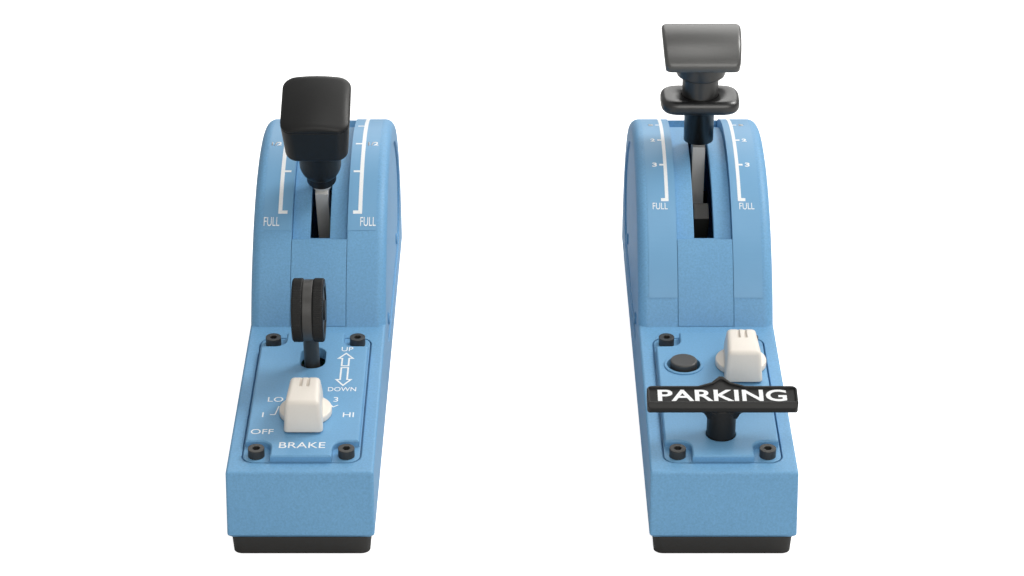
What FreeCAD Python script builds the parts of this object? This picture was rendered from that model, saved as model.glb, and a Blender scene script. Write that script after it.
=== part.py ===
import FreeCAD, Part
import os
import re
from FreeCAD import Placement, Rotation, Vector
import Sketcher

# A pair of free-standing throttle-quadrant modules that stand side by side.  The left one carries
# the speed-brake lever, the landing-gear lever and the brake selector; the right one carries the
# flaps lever, a push button, the trim knob and the parking-brake handle.
#
# Frame: millimetres, +Z up, +Y away from the pilot, the origin on the ground in the middle of the
# footprint.  Pieces are drawn in one of three local frames and then placed:
#   module frame  x from the module's middle plane, y from the deck's front edge, z from the ground
#   deck frame    x as above, y along the sloping deck, z square to the deck, from its front edge
#   lever frame   origin on the lever's pivot, z along the lever

# ---------------------------------------------------------------- driving dimensions (mm, degrees)
SIZES = [
    # housings
    ("module_width", 62.0), ("module_pitch", 177.7), ("plate_to_hump", 10.66),
    ("front_height", 38.0), ("front_lean", 4.0), ("deck_slope", 4.0), ("base_height", 8.5),
    ("dome_radius", 101.6), ("dome_centre_height", 4.8), ("hump_round", 4.5), ("edge_round", 1.2),
    ("foot_chamfer", 2.0), ("side_wall", 3.0), ("front_wall", 3.0), ("deck_wall", 5.0),
    ("dome_wall", 5.0),
    # lever channel and its insert
    ("channel_width", 25.4), ("channel_depth", 4.0), ("insert_gap", 0.15),
    ("insert_floor", 4.0), ("insert_flange", 5.0), ("insert_end_margin", 0.12),
    ("insert_end_gap", 0.02), ("insert_back_angle", 40.0),
    ("channel_front_angle", 42.2), ("channel_back_angle", 27.0),
    ("slot_width", 9.2), ("slot_front_angle", 40.8), ("slot_back_angle", 25.5),
    # side covers
    ("cover_thickness", 1.6), ("cover_recess", 2.6), ("cover_gap", 0.3), ("cover_margin", 11.0),
    ("cover_foot", 22.5), ("cover_corner", 24.0), ("cover_screw_span", 96.0),
    # faceplates
    ("plate_width", 49.2), ("plate_front", 8.1), ("plate_length", 106.3), ("plate_flange", 2.0),
    ("plate_rise", 3.2), ("plate_corner", 5.0), ("plate_gap", 0.7), ("plate_inset", 0.5),
    ("plate_edge", 0.6), ("notch_width", 11.6), ("notch_length", 12.2), ("window_width", 44.0),
    ("window_margin", 14.0), ("window_neck_width", 25.6), ("window_neck_margin", 5.0),
    # faceplate screws, M4 socket head
    ("screw_x", 19.0), ("screw_inset", 5.2), ("screw_head_radius", 3.5),
    ("screw_head_height", 3.8), ("screw_radius", 2.0), ("screw_length", 12.0),
    ("screw_socket", 3.0), ("screw_socket_depth", 2.2), ("screw_clearance", 0.2),
    ("screw_boss_radius", 4.2),
    # base trays, their screws and feet
    ("tray_inset", 1.5), ("tray_bottom", 0.4), ("tray_floor", 3.0), ("tray_rim", 2.4),
    ("tray_draft", 4.5), ("tray_corner", 4.0), ("post_radius", 3.6), ("post_x", 23.6),
    ("post_front", 16.0), ("post_inset", 23.2), ("base_boss_height", 16.0),
    ("base_screw_radius", 1.5), ("base_head_radius", 2.8), ("base_head_height", 1.8),
    ("base_screw_length", 16.0), ("foot_radius", 6.0), ("foot_recess", 1.2), ("foot_x", 20.0),
    ("foot_front", 32.0), ("foot_inset", 39.2),
    # lever pivots
    ("pivot_height", 15.0), ("axle_radius", 4.0), ("hub_radius", 9.5), ("hub_half_width", 6.5),
    ("washer_radius", 7.5), ("washer_thickness", 1.0), ("running_gap", 0.15),
    ("running_clearance", 0.05), ("bush_wall", 1.5), ("bush_flange", 1.5),
    ("wall_room", 14.85), ("pedestal_length", 32.0), ("pedestal_height", 26.0),
    ("peg_radius", 2.5), ("peg_length", 5.0), ("peg_spread", 10.0), ("magnet_length", 2.5),
    ("magnet_radius", 3.6), ("sensor_board_width", 28.0), ("sensor_board_height", 24.0),
    ("board_thickness", 1.6), ("chip_size", 5.0), ("chip_height", 1.2),
    # lever blades
    ("blade_thickness", 5.9), ("blade_depth", 12.0), ("blade_drop", 11.3), ("rod_radius", 4.5),
    # speed-brake lever
    ("brake_tilt", 26.4), ("brake_rod_length", 49.1), ("collar_rise", 3.0),
    ("collar_neck_radius", 6.9), ("collar_neck_round", 1.3), ("collar_radius", 9.7),
    ("collar_bell_rise", 15.5), ("collar_top_rise", 38.1), ("brake_knob_rise", 33.6),
    ("brake_knob_height", 25.1), ("brake_knob_width", 31.2), ("brake_knob_depth", 34.0),
    ("brake_knob_waist", 28.4), ("brake_knob_round", 6.0), ("brake_cap_height", 5.4),
    ("brake_crown_radius", 60.0), ("brake_crown_lean", 4.4),
    ("brake_socket_depth", 12.0), ("knob_clearance", 0.3), ("knob_press", 4.0),
    # flaps lever
    ("flaps_tilt", 5.3), ("flaps_rod_length", 50.7), ("lift_tube_rise", 1.7),
    ("lift_tube_radius", 7.05), ("lift_plate_rise", 18.6), ("lift_plate_thickness", 6.8),
    ("lift_plate_width", 37.2), ("lift_plate_depth", 23.0), ("lift_travel", 4.5),
    ("lift_floor", 1.5), ("lift_stop_gap", 0.3), ("neck_radius", 8.5),
    ("collar_flange_radius", 9.7), ("collar_flange_rise", 35.0), ("flaps_knob_rise", 41.9),
    ("flaps_knob_width", 37.6), ("flaps_knob_front", 15.0), ("flaps_knob_back", 13.0),
    ("flaps_knob_height", 14.9), ("flaps_crown_radius", 30.0), ("flaps_crown_offset", 8.0),
    ("flaps_knob_round", 5.0), ("flaps_knob_foot", 1.6), ("spring_room_radius", 6.9),
    ("spring_room_length", 9.0), ("detent_angle", 26.0), ("detent_reach", 79.5),
    ("detent_width", 7.0), ("detent_depth", 9.0),
    # landing-gear lever
    ("gear_setback", 23.0), ("gear_slot_length", 19.3), ("gear_slot_width", 11.4),
    ("gear_pivot_depth", 16.8), ("gear_tilt", 13.2), ("gear_stem_radius", 3.45),
    ("gear_hub_radius", 4.5), ("gear_hub_width", 9.0), ("gear_pin_radius", 1.5),
    ("gear_wheel_height", 52.1), ("gear_wheel_radius", 14.0), ("gear_wheel_width", 13.8),
    ("gear_band_width", 4.2), ("gear_band_radius", 13.5), ("gear_seat_radius", 10.5),
    ("gear_tyre_round", 0.7), ("gear_axle_radius", 2.5), ("gear_ear_thickness", 2.0),
    ("gear_ear_gap", 0.4),
    ("gear_bracket_length", 30.0), ("gear_bracket_width", 24.0), ("gear_bracket_top", 1.5),
    ("gear_bracket_reach", 5.5), ("switch_length", 12.8), ("switch_depth", 6.5),
    ("switch_width", 5.8),
    # rotary knobs: the brake selector and the trim knob share one shape
    ("selector_y", 42.6), ("trim_x", 12.8), ("trim_setback", 29.2), ("skirt_radius", 11.3),
    ("skirt_thickness", 2.7), ("knob_gap", 0.4), ("grip_front", 17.2), ("grip_back", 14.0),
    ("grip_top_front", 16.4), ("grip_top_back", 4.6), ("grip_height", 14.9), ("grip_width", 15.9),
    ("grip_nose_width", 11.4), ("grip_round", 1.8), ("grip_overhang", 0.5),
    ("groove_width", 1.0), ("groove_pitch", 3.0), ("groove_length", 9.0), ("groove_depth", 0.9),
    ("knob_shaft_radius", 3.0), ("knob_shaft_depth", 9.0), ("knob_shaft_reach", 8.0),
    ("switch_bush_radius", 4.5),
    ("selector_body_size", 17.0), ("selector_body_height", 13.0), ("pot_radius", 8.5),
    ("pot_height", 9.0),
    # push button
    ("button_x", -12.6), ("button_setback", 29.8), ("button_radius", 6.0), ("button_top", 2.7),
    ("button_skirt", 6.6), ("button_travel", 2.0), ("bezel_inner", 7.4), ("bezel_outer", 8.0),
    ("bezel_flange_radius", 8.7), ("bezel_rise", 0.6), ("bezel_depth", 6.0),
    ("button_stem_radius", 2.2), ("button_stem_length", 5.0), ("tact_size", 14.0),
    ("tact_height", 7.0),
    # parking-brake handle
    ("park_y", 26.0), ("park_stem_radius", 6.15), ("park_flare", 2.6), ("park_bar_length", 63.6),
    ("park_bar_front", 5.9), ("park_bar_back", 6.8), ("park_bar_bevel", 2.2),
    ("park_bar_thickness", 4.2), ("park_bar_height", 17.8), ("park_bar_tilt", 12.5),
    ("park_bar_round", 2.4), ("park_peak", 6.0), ("park_peak_width", 20.0), ("park_rim", 0.9),
    ("park_label_depth", 0.7), ("park_pull", 8.0),
    ("park_shaft_radius", 3.0), ("park_slider_size", 15.0), ("park_slider_height", 7.0),
    ("park_guide_size", 20.0), ("park_guide_length", 32.0), ("park_guide_shoulder", 5.0),
    ("park_spring_room", 13.0), ("park_clip_radius", 5.0), ("park_clip_thickness", 1.0),
    ("park_collar_clearance", 0.08),
    # electronics
    ("main_board_width", 40.0), ("main_board_length", 62.0), ("board_gap", 3.6),
    ("standoff_height", 3.0), ("standoff_radius", 2.5), ("socket_width", 20.0),
    ("socket_height", 19.0), ("socket_depth", 16.0), ("socket_centre_height", 30.0),
    ("socket_mouth_width", 10.4), ("socket_mouth_height", 10.2), ("socket_mouth_depth", 12.0),
    ("socket_gap", 0.15), ("socket_proud", 0.5),
]
ALIASES = {alias for alias, number in SIZES}

os.makedirs("parts", exist_ok=True)
doc = FreeCAD.newDocument("ThrottleQuadrant")
sheet = doc.addObject("Spreadsheet::Sheet", "Sizes")
for row, (alias, number) in enumerate(SIZES, start=1):
    sheet.set(f"A{row}", alias.replace("_", " "))
    sheet.set(f"B{row}", str(number))
    sheet.setAlias(f"B{row}", alias)
doc.recompute()

# Places that several pieces share, as expressions of the sheet's cells.
PLATE_BACK = "(plate_front + plate_length)"
HUMP_Y = f"({PLATE_BACK} + plate_to_hump)"
HUMP_Z = f"(front_height + {HUMP_Y} * tan(deck_slope) - dome_centre_height)"
DOME_Y = f"({HUMP_Y} + sqrt(dome_radius ^ 2 - {HUMP_Z} ^ 2))"
INSERT_FRONT = f"(atan(sqrt(dome_radius ^ 2 - {HUMP_Z} ^ 2) / {HUMP_Z}) / 1 deg - insert_end_margin)"
BODY_BACK = f"({DOME_Y} + dome_radius)"
FRONT_EDGE_Y = f"((front_lean - {BODY_BACK}) / 2)"
GEAR_Y = f"({PLATE_BACK} - gear_setback)"
TRIM_Y = f"({PLATE_BACK} - trim_setback)"
BUTTON_Y = f"({PLATE_BACK} - button_setback)"
BLADE_REACH = "(dome_radius - blade_drop)"
COLLAR_BOTTOM = f"({BLADE_REACH} + collar_rise)"
COLLAR_BELL = f"({BLADE_REACH} + collar_bell_rise)"
BRAKE_KNOB_Z = f"({BLADE_REACH} + brake_knob_rise)"
LIFT_PLATE_Z = f"({BLADE_REACH} + lift_plate_rise)"
FLANGE_Z = f"({BLADE_REACH} + collar_flange_rise)"
FLAPS_KNOB_Z = f"({BLADE_REACH} + flaps_knob_rise)"
PLATE_TOP = "plate_rise"
INSERT_INNER = "(dome_radius - channel_depth - insert_floor)"
HUB_END = "(hub_half_width + washer_thickness)"
PEDESTAL_IN = "(hub_half_width + washer_thickness + running_gap + bush_flange)"
PEDESTAL_OUT = "(module_width / 2 - wall_room)"
PEDESTAL_THICKNESS = f"({PEDESTAL_OUT} - {PEDESTAL_IN})"
TRAY_TOP = "(tray_bottom + tray_floor)"
KNOB_BASE = "(plate_rise + knob_gap)"
LIFT_WELL = f"({LIFT_PLATE_Z} + lift_floor)"
SIDES = {"left": -1, "right": 1}

X_AXIS = Vector(1, 0, 0)
TURN_TO_X = Rotation(Vector(1, 1, 1), 120)      # a cylinder's own z goes to +X and its x to +Y
TURN_TO_Y = Rotation(Vector(1, 0, 0), -90)
parts = {}


# ------------------------------------------------------------------------------ document helpers
def bound(text):
    """The expression that reads the sheet: every alias in the text gets the sheet's name."""
    words = r"[a-z][a-z_0-9]*"
    return re.sub(words, lambda m: "Sizes." + m[0] if m[0] in ALIASES else m[0], str(text))


def number_of(text):
    """The present value of an expression in millimetres or degrees."""
    found = sheet.evalExpression(bound(text))
    return float(getattr(found, "Value", found))


def bind(thing, **sizes):
    for name, text in sizes.items():
        thing.setExpression(name, bound(text))
    return thing


def put(thing, x="0", y="0", z="0", turn=None):
    """Bind where an object stands, and how far it is turned about the X axis."""
    if turn is not None:
        thing.Placement = Placement(Vector(), Rotation(X_AXIS, 1))
        thing.setExpression(".Placement.Rotation.Angle", bound(turn))
    thing.setExpression(".Placement.Base.x", bound(x))
    thing.setExpression(".Placement.Base.y", bound(y))
    thing.setExpression(".Placement.Base.z", bound(z))
    return thing


def box(length, width, height, x="0", y="0", z="0"):
    """A block with its middle at x, y and its bottom at z."""
    block = doc.addObject("Part::Box", "block")
    bind(block, Length=length, Width=width, Height=height)
    return put(block, f"{x} - ({length}) / 2", f"{y} - ({width}) / 2", z)


def rod(radius, length, x="0", y="0", z="0", along="z"):
    """A cylinder that starts at x, y, z and runs along one axis."""
    turned = {"x": TURN_TO_X, "y": TURN_TO_Y, "z": Rotation()}[along]
    cylinder = doc.addObject("Part::Cylinder", "rod")
    bind(cylinder, Radius=radius, Height=length)
    cylinder.Placement = Placement(Vector(), turned)
    return put(cylinder, x, y, z)


def cross_rod(radius, half_length, y="0", z="0"):
    """A cylinder across the module, the same length each side of its middle plane."""
    return rod(radius, f"2 * ({half_length})", f"-({half_length})", y, z, along="x")


def cone(low_radius, high_radius, height, x="0", y="0", z="0"):
    taper = doc.addObject("Part::Cone", "taper")
    bind(taper, Radius1=low_radius, Radius2=high_radius, Height=height)
    return put(taper, x, y, z)


def fuse(*items):
    joined = doc.addObject("Part::MultiFuse", "fusion")
    joined.Shapes = list(items)
    return joined


def cut(base, *tools):
    """The base with the tools taken out, in one step."""
    result = doc.addObject("Part::Cut", "cut")
    result.Base = base
    result.Tool = tools[0] if len(tools) == 1 else fuse(*tools)
    return result


def common(*items):
    shared = doc.addObject("Part::MultiCommon", "common")
    shared.Shapes = list(items)
    return shared


def group(*items):
    """Several separate solids that are kept as one sub-part."""
    together = doc.addObject("Part::Compound", "set")
    together.Links = list(items)
    return together


def sector(inner, outer, width, low, high):
    """An arc-shaped bar about the dome's axis, between two tilts from upright towards the front."""
    pie = doc.addObject("Part::Cylinder", "pie")
    bind(pie, Radius=outer, Height=width, Angle=f"({high}) - ({low})")
    pie.Placement = Placement(Vector(), TURN_TO_X)
    put(pie, x=f"-({width}) / 2")
    arc = cut(pie, cross_rod(inner, f"({width}) / 2 + 1"))
    return put(arc, "0", DOME_Y, "dome_centre_height", turn=f"90 + ({low})")


# ------------------------------------------------------------------- sketch and body helpers
def new_body(name):
    return doc.addObject("PartDesign::Body", name)


def new_sketch(body, role, height="0"):
    """A sketch on one of the body's own origin planes, raised by a bound height."""
    plane = [each for each in body.Origin.OriginFeatures if each.Role == role][0]
    drawing = body.newObject("Sketcher::SketchObject", "outline")
    drawing.AttachmentSupport = [(plane, "")]
    drawing.MapMode = "FlatFace"
    drawing.setExpression(".AttachmentOffset.Base.z", bound(height))
    return drawing


def pin_point(drawing, item, end, x, y):
    """Two bound distances that hold one point of a sketch to the origin."""
    for kind, text in (("DistanceX", x), ("DistanceY", y)):
        at = drawing.addConstraint(Sketcher.Constraint(kind, -1, 1, item, end, number_of(text)))
        drawing.setExpression(f"Constraints[{at}]", bound(text))


def polygon(drawing, corners):
    """A closed outline whose corners are all bound."""
    spots = [Vector(number_of(x), number_of(y), 0) for x, y in corners]
    first = drawing.GeometryCount
    for at, spot in enumerate(spots):
        drawing.addGeometry(Part.LineSegment(spot, spots[(at + 1) % len(spots)]), False)
    for at, (x, y) in enumerate(corners):
        follower = first + (at + 1) % len(corners)
        drawing.addConstraint(Sketcher.Constraint("Coincident", first + at, 2, follower, 1))
        pin_point(drawing, first + at, 1, x, y)
    return drawing


def rectangle(drawing, x_low, x_high, y_low, y_high):
    return polygon(drawing, [(x_low, y_low), (x_high, y_low), (x_high, y_high), (x_low, y_high)])


def circle(drawing, x, y, radius):
    middle = Vector(number_of(x), number_of(y), 0)
    item = drawing.addGeometry(Part.Circle(middle, Vector(0, 0, 1), number_of(radius)), False)
    pin_point(drawing, item, 3, x, y)
    at = drawing.addConstraint(Sketcher.Constraint("Radius", item, number_of(radius)))
    drawing.setExpression(f"Constraints[{at}]", bound(radius))
    return drawing


def stadium(drawing, x, y, half_pitch, radius, along="y"):
    """A slot outline: two half circles a bound distance each side of the middle, and two lines."""
    reach = number_of(half_pitch)
    size = number_of(radius)
    middle = Vector(number_of(x), number_of(y), 0)
    step = Vector(0, reach, 0) if along == "y" else Vector(reach, 0, 0)
    side = Vector(-size, 0, 0) if along == "y" else Vector(0, size, 0)
    start = 0 if along == "y" else -90
    normal = Vector(0, 0, 1)

    def half_circle(centre, first_angle):
        whole = Part.Circle(centre, normal, size)
        turn = FreeCAD.Units.Quantity(f"{first_angle} deg").getValueAs("rad").Value
        half = FreeCAD.Units.Quantity("180 deg").getValueAs("rad").Value
        return Part.ArcOfCircle(whole, turn, turn + half)

    far = drawing.addGeometry(half_circle(middle + step, start), False)
    near = drawing.addGeometry(half_circle(middle - step, start + 180), False)
    one = drawing.addGeometry(Part.LineSegment(middle + step + side, middle - step + side), False)
    two = drawing.addGeometry(Part.LineSegment(middle - step - side, middle + step - side), False)
    for first, end, second, start_end in ((far, 2, one, 1), (one, 2, near, 1),
                                          (near, 2, two, 1), (two, 2, far, 1)):
        drawing.addConstraint(Sketcher.Constraint("Tangent", first, end, second, start_end))
    drawing.addConstraint(Sketcher.Constraint("Equal", far, near))
    at = drawing.addConstraint(Sketcher.Constraint("Radius", far, size))
    drawing.setExpression(f"Constraints[{at}]", bound(radius))
    if along == "y":
        pin_point(drawing, far, 3, x, f"({y}) + ({half_pitch})")
        pin_point(drawing, near, 3, x, f"({y}) - ({half_pitch})")
    else:
        pin_point(drawing, far, 3, f"({x}) + ({half_pitch})", y)
        pin_point(drawing, near, 3, f"({x}) - ({half_pitch})", y)
    return drawing


def pad(body, drawing, length, both_ways=False, reverse=False):
    feature = body.newObject("PartDesign::Pad", "pad")
    feature.Profile = drawing
    bind(feature, Length=length)
    feature.Midplane = both_ways
    feature.Reversed = reverse
    doc.recompute()
    return feature


def pocket(body, drawing, length, both_ways=False, reverse=False):
    """Cut the sketch out of the body, and make sure that something was cut."""
    before = body.Shape.Volume
    feature = body.newObject("PartDesign::Pocket", "pocket")
    feature.Profile = drawing
    bind(feature, Length=length)
    feature.Midplane = both_ways
    feature.Reversed = reverse
    doc.recompute()
    if not body.Shape.Volume < before:
        raise RuntimeError(f"{body.Label}: a pocket cuts nothing")
    return feature


def edges_that(shape, test):
    """The names of the edges that pass a test."""
    return [f"Edge{at}" for at, edge in enumerate(shape.Edges, start=1) if test(edge)]


def straight_along(edge, axis):
    if edge.Curve.TypeId != "Part::GeomLine":
        return False
    return abs(abs(edge.tangentAt(edge.FirstParameter).dot(axis)) - 1) < 1e-6


def soften(body, test, size, kind="Fillet"):
    """Round or chamfer the edges of a body's last feature that pass a test."""
    names = edges_that(body.Tip.Shape, test)
    if not names:
        raise RuntimeError(f"{body.Label}: no edge to soften")
    feature = body.newObject("PartDesign::" + kind, kind.lower())
    feature.Base = (body.Tip if body.Tip != feature else feature.BaseFeature, names)
    bind(feature, **{"Radius" if kind == "Fillet" else "Size": size})
    doc.recompute()
    if feature.Shape.isNull() or not feature.Shape.isValid():
        raise RuntimeError(f"{body.Label}: the {kind.lower()} failed")
    return feature


# --------------------------------------------------------------------------------- final placing
def register(label, thing):
    thing.Label = label
    parts[label] = thing
    return thing


def own_frame(thing):
    """A bare primitive keeps its place in its local frame inside a compound of one."""
    return group(thing) if thing.TypeId in ("Part::Box", "Part::Cylinder", "Part::Feature") else thing


def in_module(label, thing, side):
    """Stand a piece drawn in the module frame in its module."""
    thing = register(label, own_frame(thing))
    return put(thing, f"{SIDES[side]} * module_pitch / 2", FRONT_EDGE_Y, "0")


def deck_spot(x, y, z):
    """The world place of a point given in the deck frame."""
    return (x,
            f"{FRONT_EDGE_Y} + ({y}) * cos(deck_slope) - ({z}) * sin(deck_slope)",
            f"front_height + ({y}) * sin(deck_slope) + ({z}) * cos(deck_slope)")


def on_deck(label, thing, side, x="0", y="0", z="0", lean="0"):
    """Stand a piece on a spot of the deck, square to it unless it leans towards the front."""
    thing = register(label, own_frame(thing))
    spot = deck_spot(f"{SIDES[side]} * module_pitch / 2 + ({x})", y, z)
    return put(thing, *spot, turn=f"deck_slope + ({lean})")


def on_lever(label, thing, side, tilt):
    """Stand a piece drawn in the lever frame on its lever's pivot."""
    thing = register(label, own_frame(thing))
    return put(thing, f"{SIDES[side]} * module_pitch / 2", f"{FRONT_EDGE_Y} + {DOME_Y}",
               "pivot_height", turn=tilt)


# -------------------------------------------------------------------------------- the housings
def housing_blank(side):
    """The outer form: a slab with a sloping deck, and a half disc with rounded rims behind it."""
    hump = new_body(side + "_hump")
    disc = circle(new_sketch(hump, "YZ_Plane"), DOME_Y, "dome_centre_height", "dome_radius")
    pad(hump, disc, "module_width", both_ways=True)
    soften(hump, lambda edge: edge.Curve.TypeId == "Part::GeomCircle", "hump_round")
    slab = new_body(side + "_slab")
    outline = polygon(new_sketch(slab, "YZ_Plane"), [
        ("-front_lean", "base_height"), ("0", "front_height"),
        (DOME_Y, f"front_height + {DOME_Y} * tan(deck_slope)"), (DOME_Y, "base_height"),
    ])
    pad(slab, outline, "module_width", both_ways=True)
    low = number_of("base_height") + 0.01
    far = number_of(DOME_Y) - 0.01

    def shown_edge(edge):
        return edge.BoundBox.ZMax > low and edge.BoundBox.YMin < far

    soften(slab, shown_edge, "edge_round")
    skirt = new_body(side + "_skirt")
    foot = rectangle(new_sketch(skirt, "XY_Plane", "base_height"), "-module_width / 2",
                     "module_width / 2", "-front_lean", f"{DOME_Y} + dome_radius")
    pad(skirt, foot, "dome_radius + front_height")
    soften(skirt, lambda edge: edge.BoundBox.ZMax < low, "foot_chamfer", "Chamfer")
    return common(fuse(hump, slab), skirt)


def cavity(side):
    """What the mould's core leaves open under the shell."""
    body = new_body(side + "_core")
    inner_width = "module_width - 2 * side_wall"
    slab = polygon(new_sketch(body, "YZ_Plane"), [
        ("front_wall - front_lean", "base_height - 1"),
        ("front_wall", "front_height - deck_wall"),
        (DOME_Y, f"front_height - deck_wall + {DOME_Y} * tan(deck_slope)"),
        (DOME_Y, "base_height - 1"),
    ])
    pad(body, slab, inner_width, both_ways=True)
    disc = circle(new_sketch(body, "YZ_Plane"), DOME_Y, "dome_centre_height",
                  "dome_radius - dome_wall")
    pad(body, disc, inner_width, both_ways=True)
    return body


def deck_tool(thing):
    """Tilt a cutter drawn in the deck frame onto the module frame."""
    return put(thing, "0", "0", "front_height", turn="deck_slope")


def plate_outline(drawing, grow="0"):
    return rectangle(drawing, f"-(plate_width / 2 + {grow})", f"plate_width / 2 + {grow}",
                     f"plate_front - ({grow})", f"{PLATE_BACK} + {grow}")


def upright(edge):
    return straight_along(edge, Vector(0, 0, 1))


def plate_recess(side):
    """The shallow bed in the deck that the faceplate's flange lies in."""
    body = new_body(side + "_bed")
    pad(body, plate_outline(new_sketch(body, "XY_Plane", "-plate_flange"), "plate_gap"),
        "plate_flange + 8")
    soften(body, upright, "plate_corner + plate_gap")
    return deck_tool(body)


def deck_screw_spots():
    for x in ("-screw_x", "screw_x"):
        for y in ("plate_front + screw_inset", f"{PLATE_BACK} - screw_inset"):
            yield x, y


def base_screw_spots():
    for x in ("-post_x", "post_x"):
        for y in ("post_front", f"{BODY_BACK} - post_inset"):
            yield x, y


def cover_outline(grow, depth, start):
    """A half-disc cover with a flat foot and rounded corners, concentric with the hump."""
    body = new_body("cover_blank")
    foot = f"(cover_foot - ({grow}))"
    radius = f"(dome_radius - cover_margin + ({grow}))"
    disc = circle(new_sketch(body, "YZ_Plane", start), DOME_Y, "dome_centre_height", radius)
    pad(body, disc, depth)
    below = rectangle(new_sketch(body, "YZ_Plane", start), f"{DOME_Y} - dome_radius",
                      f"{DOME_Y} + dome_radius", "-dome_radius", foot)
    pocket(body, below, depth, reverse=True)
    soften(body, lambda edge: straight_along(edge, X_AXIS), f"cover_corner + ({grow})")
    return body


def cover_start(hand):
    """The inner face of a side cover; hand is -1 on a module's left side and 1 on its right."""
    out = "module_width / 2 - cover_recess"
    return out if hand > 0 else f"-({out}) - cover_thickness"


def cover_screw_spots():
    for y in ("-cover_screw_span / 2", "cover_screw_span / 2"):
        yield f"{DOME_Y} + {y}", "cover_foot + 8"


def housing(side):
    shell = cut(housing_blank(side), cavity(side))
    inner = "module_width / 2 - side_wall"
    bosses = []
    holes = []
    for x, y in base_screw_spots():
        toward = "1" if not x.startswith("-") else "-1"
        bosses.append(rod("post_radius", "base_boss_height", x, y, "base_height"))
        bosses.append(box(f"{inner} - post_x + side_wall / 2", "2 * post_radius - 2",
                          "base_boss_height",
                          f"{toward} * ({inner} + post_x + side_wall / 2) / 2", y, "base_height"))
        holes.append(rod("base_screw_radius", "base_boss_height + 1", x, y, "base_height - 1"))
    deck_bosses = []
    deck_holes = []
    for x, y in deck_screw_spots():
        deck_bosses.append(rod("screw_boss_radius", "screw_length - deck_wall + 1", x, y,
                               "-screw_length - 1"))
        deck_holes.append(rod("screw_radius", "screw_length + 4", x, y, "-screw_length - 2"))
    middle = "plate_front + plate_length / 2"
    window = box("window_width", "plate_length - 2 * window_margin", "deck_wall + 12", "0",
                 middle, "-deck_wall - 6")
    window_neck = box("window_neck_width", "plate_length - 2 * window_neck_margin",
                      "deck_wall + 12", "0", middle, "-deck_wall - 6")
    pads = []
    recesses = []
    for hand in (-1, 1):
        pads.append(cover_outline("3", "cover_recess",
                                  f"{hand} * (module_width / 2 - side_wall)"
                                  + (" - cover_recess" if hand > 0 else "")))
        recesses.append(cover_outline("cover_gap", "cover_recess + 5",
                                      "module_width / 2 - cover_recess" if hand > 0
                                      else "-module_width / 2 - 5"))
        for y, z in cover_screw_spots():
            holes.append(rod("base_screw_radius", "cover_recess + side_wall + 2",
                             "module_width / 2 - side_wall - cover_recess - 1" if hand > 0
                             else "-module_width / 2 - 1", y, z, along="x"))
    opening = sector("dome_radius - dome_wall - 4", "dome_radius + 5",
                     "channel_width + 2 * insert_gap", "-insert_back_angle", INSERT_FRONT)
    socket_hole = box("socket_width + 2 * socket_gap", "2 * dome_wall + 18",
                      "socket_height + 2 * socket_gap", "0", f"{DOME_Y} + dome_radius",
                      "socket_centre_height - socket_height / 2 - socket_gap")
    solid = fuse(shell, *bosses, deck_tool(fuse(*deck_bosses)), *pads)
    deck_cuts = deck_tool(fuse(window, window_neck, *deck_holes))
    finished = cut(solid, plate_recess(side), deck_cuts, *recesses, *holes, opening,
                   socket_hole)
    in_module(side + "_housing", finished, side)


def side_cover(side, place, hand):
    """A thin cover over the joining holes in a module's flank, with two countersunk screw holes."""
    sheet_metal = cover_outline("0", "cover_thickness", cover_start(hand))
    holes = [rod("base_screw_radius + 0.1", "cover_thickness + 2", f"{cover_start(hand)} - 1", y, z,
                 along="x") for y, z in cover_screw_spots()]
    in_module(f"{side}_{place}_cover", cut(sheet_metal, *holes), side)


def cover_screws():
    """The flat-head screws of all four side covers."""
    screws = []
    for side in SIDES:
        for hand in (-1, 1):
            head_at = ("module_width / 2 - cover_recess + cover_thickness" if hand > 0 else
                       "-module_width / 2 + cover_recess - cover_thickness - 0.9")
            shank_at = (f"{head_at} - cover_thickness - 3" if hand > 0 else f"({head_at}) + 0.9")
            for y, z in cover_screw_spots():
                head = rod("base_head_radius", "0.9", head_at, y, z, along="x")
                shank = rod("base_screw_radius", "cover_thickness + 3", shank_at, y, z, along="x")
                screw = fuse(head, shank)
                screws.append(put(screw, f"{SIDES[side]} * module_pitch / 2", FRONT_EDGE_Y, "0"))
    register("cover_screws", group(*screws))


def quadrant_insert(side):
    """The strip down the middle of the hump: it closes the opening, holds the channel's floor and
    has the slot that the lever's blade runs in."""
    strip_width = "channel_width"
    strip = sector(INSERT_INNER, "dome_radius", strip_width, "-insert_back_angle + 0.1",
                   f"{INSERT_FRONT} - insert_end_gap")
    flange = sector(INSERT_INNER, "dome_radius - dome_wall", "channel_width + 2 * insert_flange",
                    "-insert_back_angle - 3", f"{INSERT_FRONT} - 4")
    channel = sector("dome_radius - channel_depth", "dome_radius + 5", "channel_width + 2",
                     "-channel_back_angle", "channel_front_angle")
    slot = sector("dome_radius - 30", "dome_radius + 5", "slot_width", "-slot_back_angle",
                  "slot_front_angle")
    in_module(side + "_quadrant_insert", cut(fuse(strip, flange), channel, slot), side)


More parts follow.
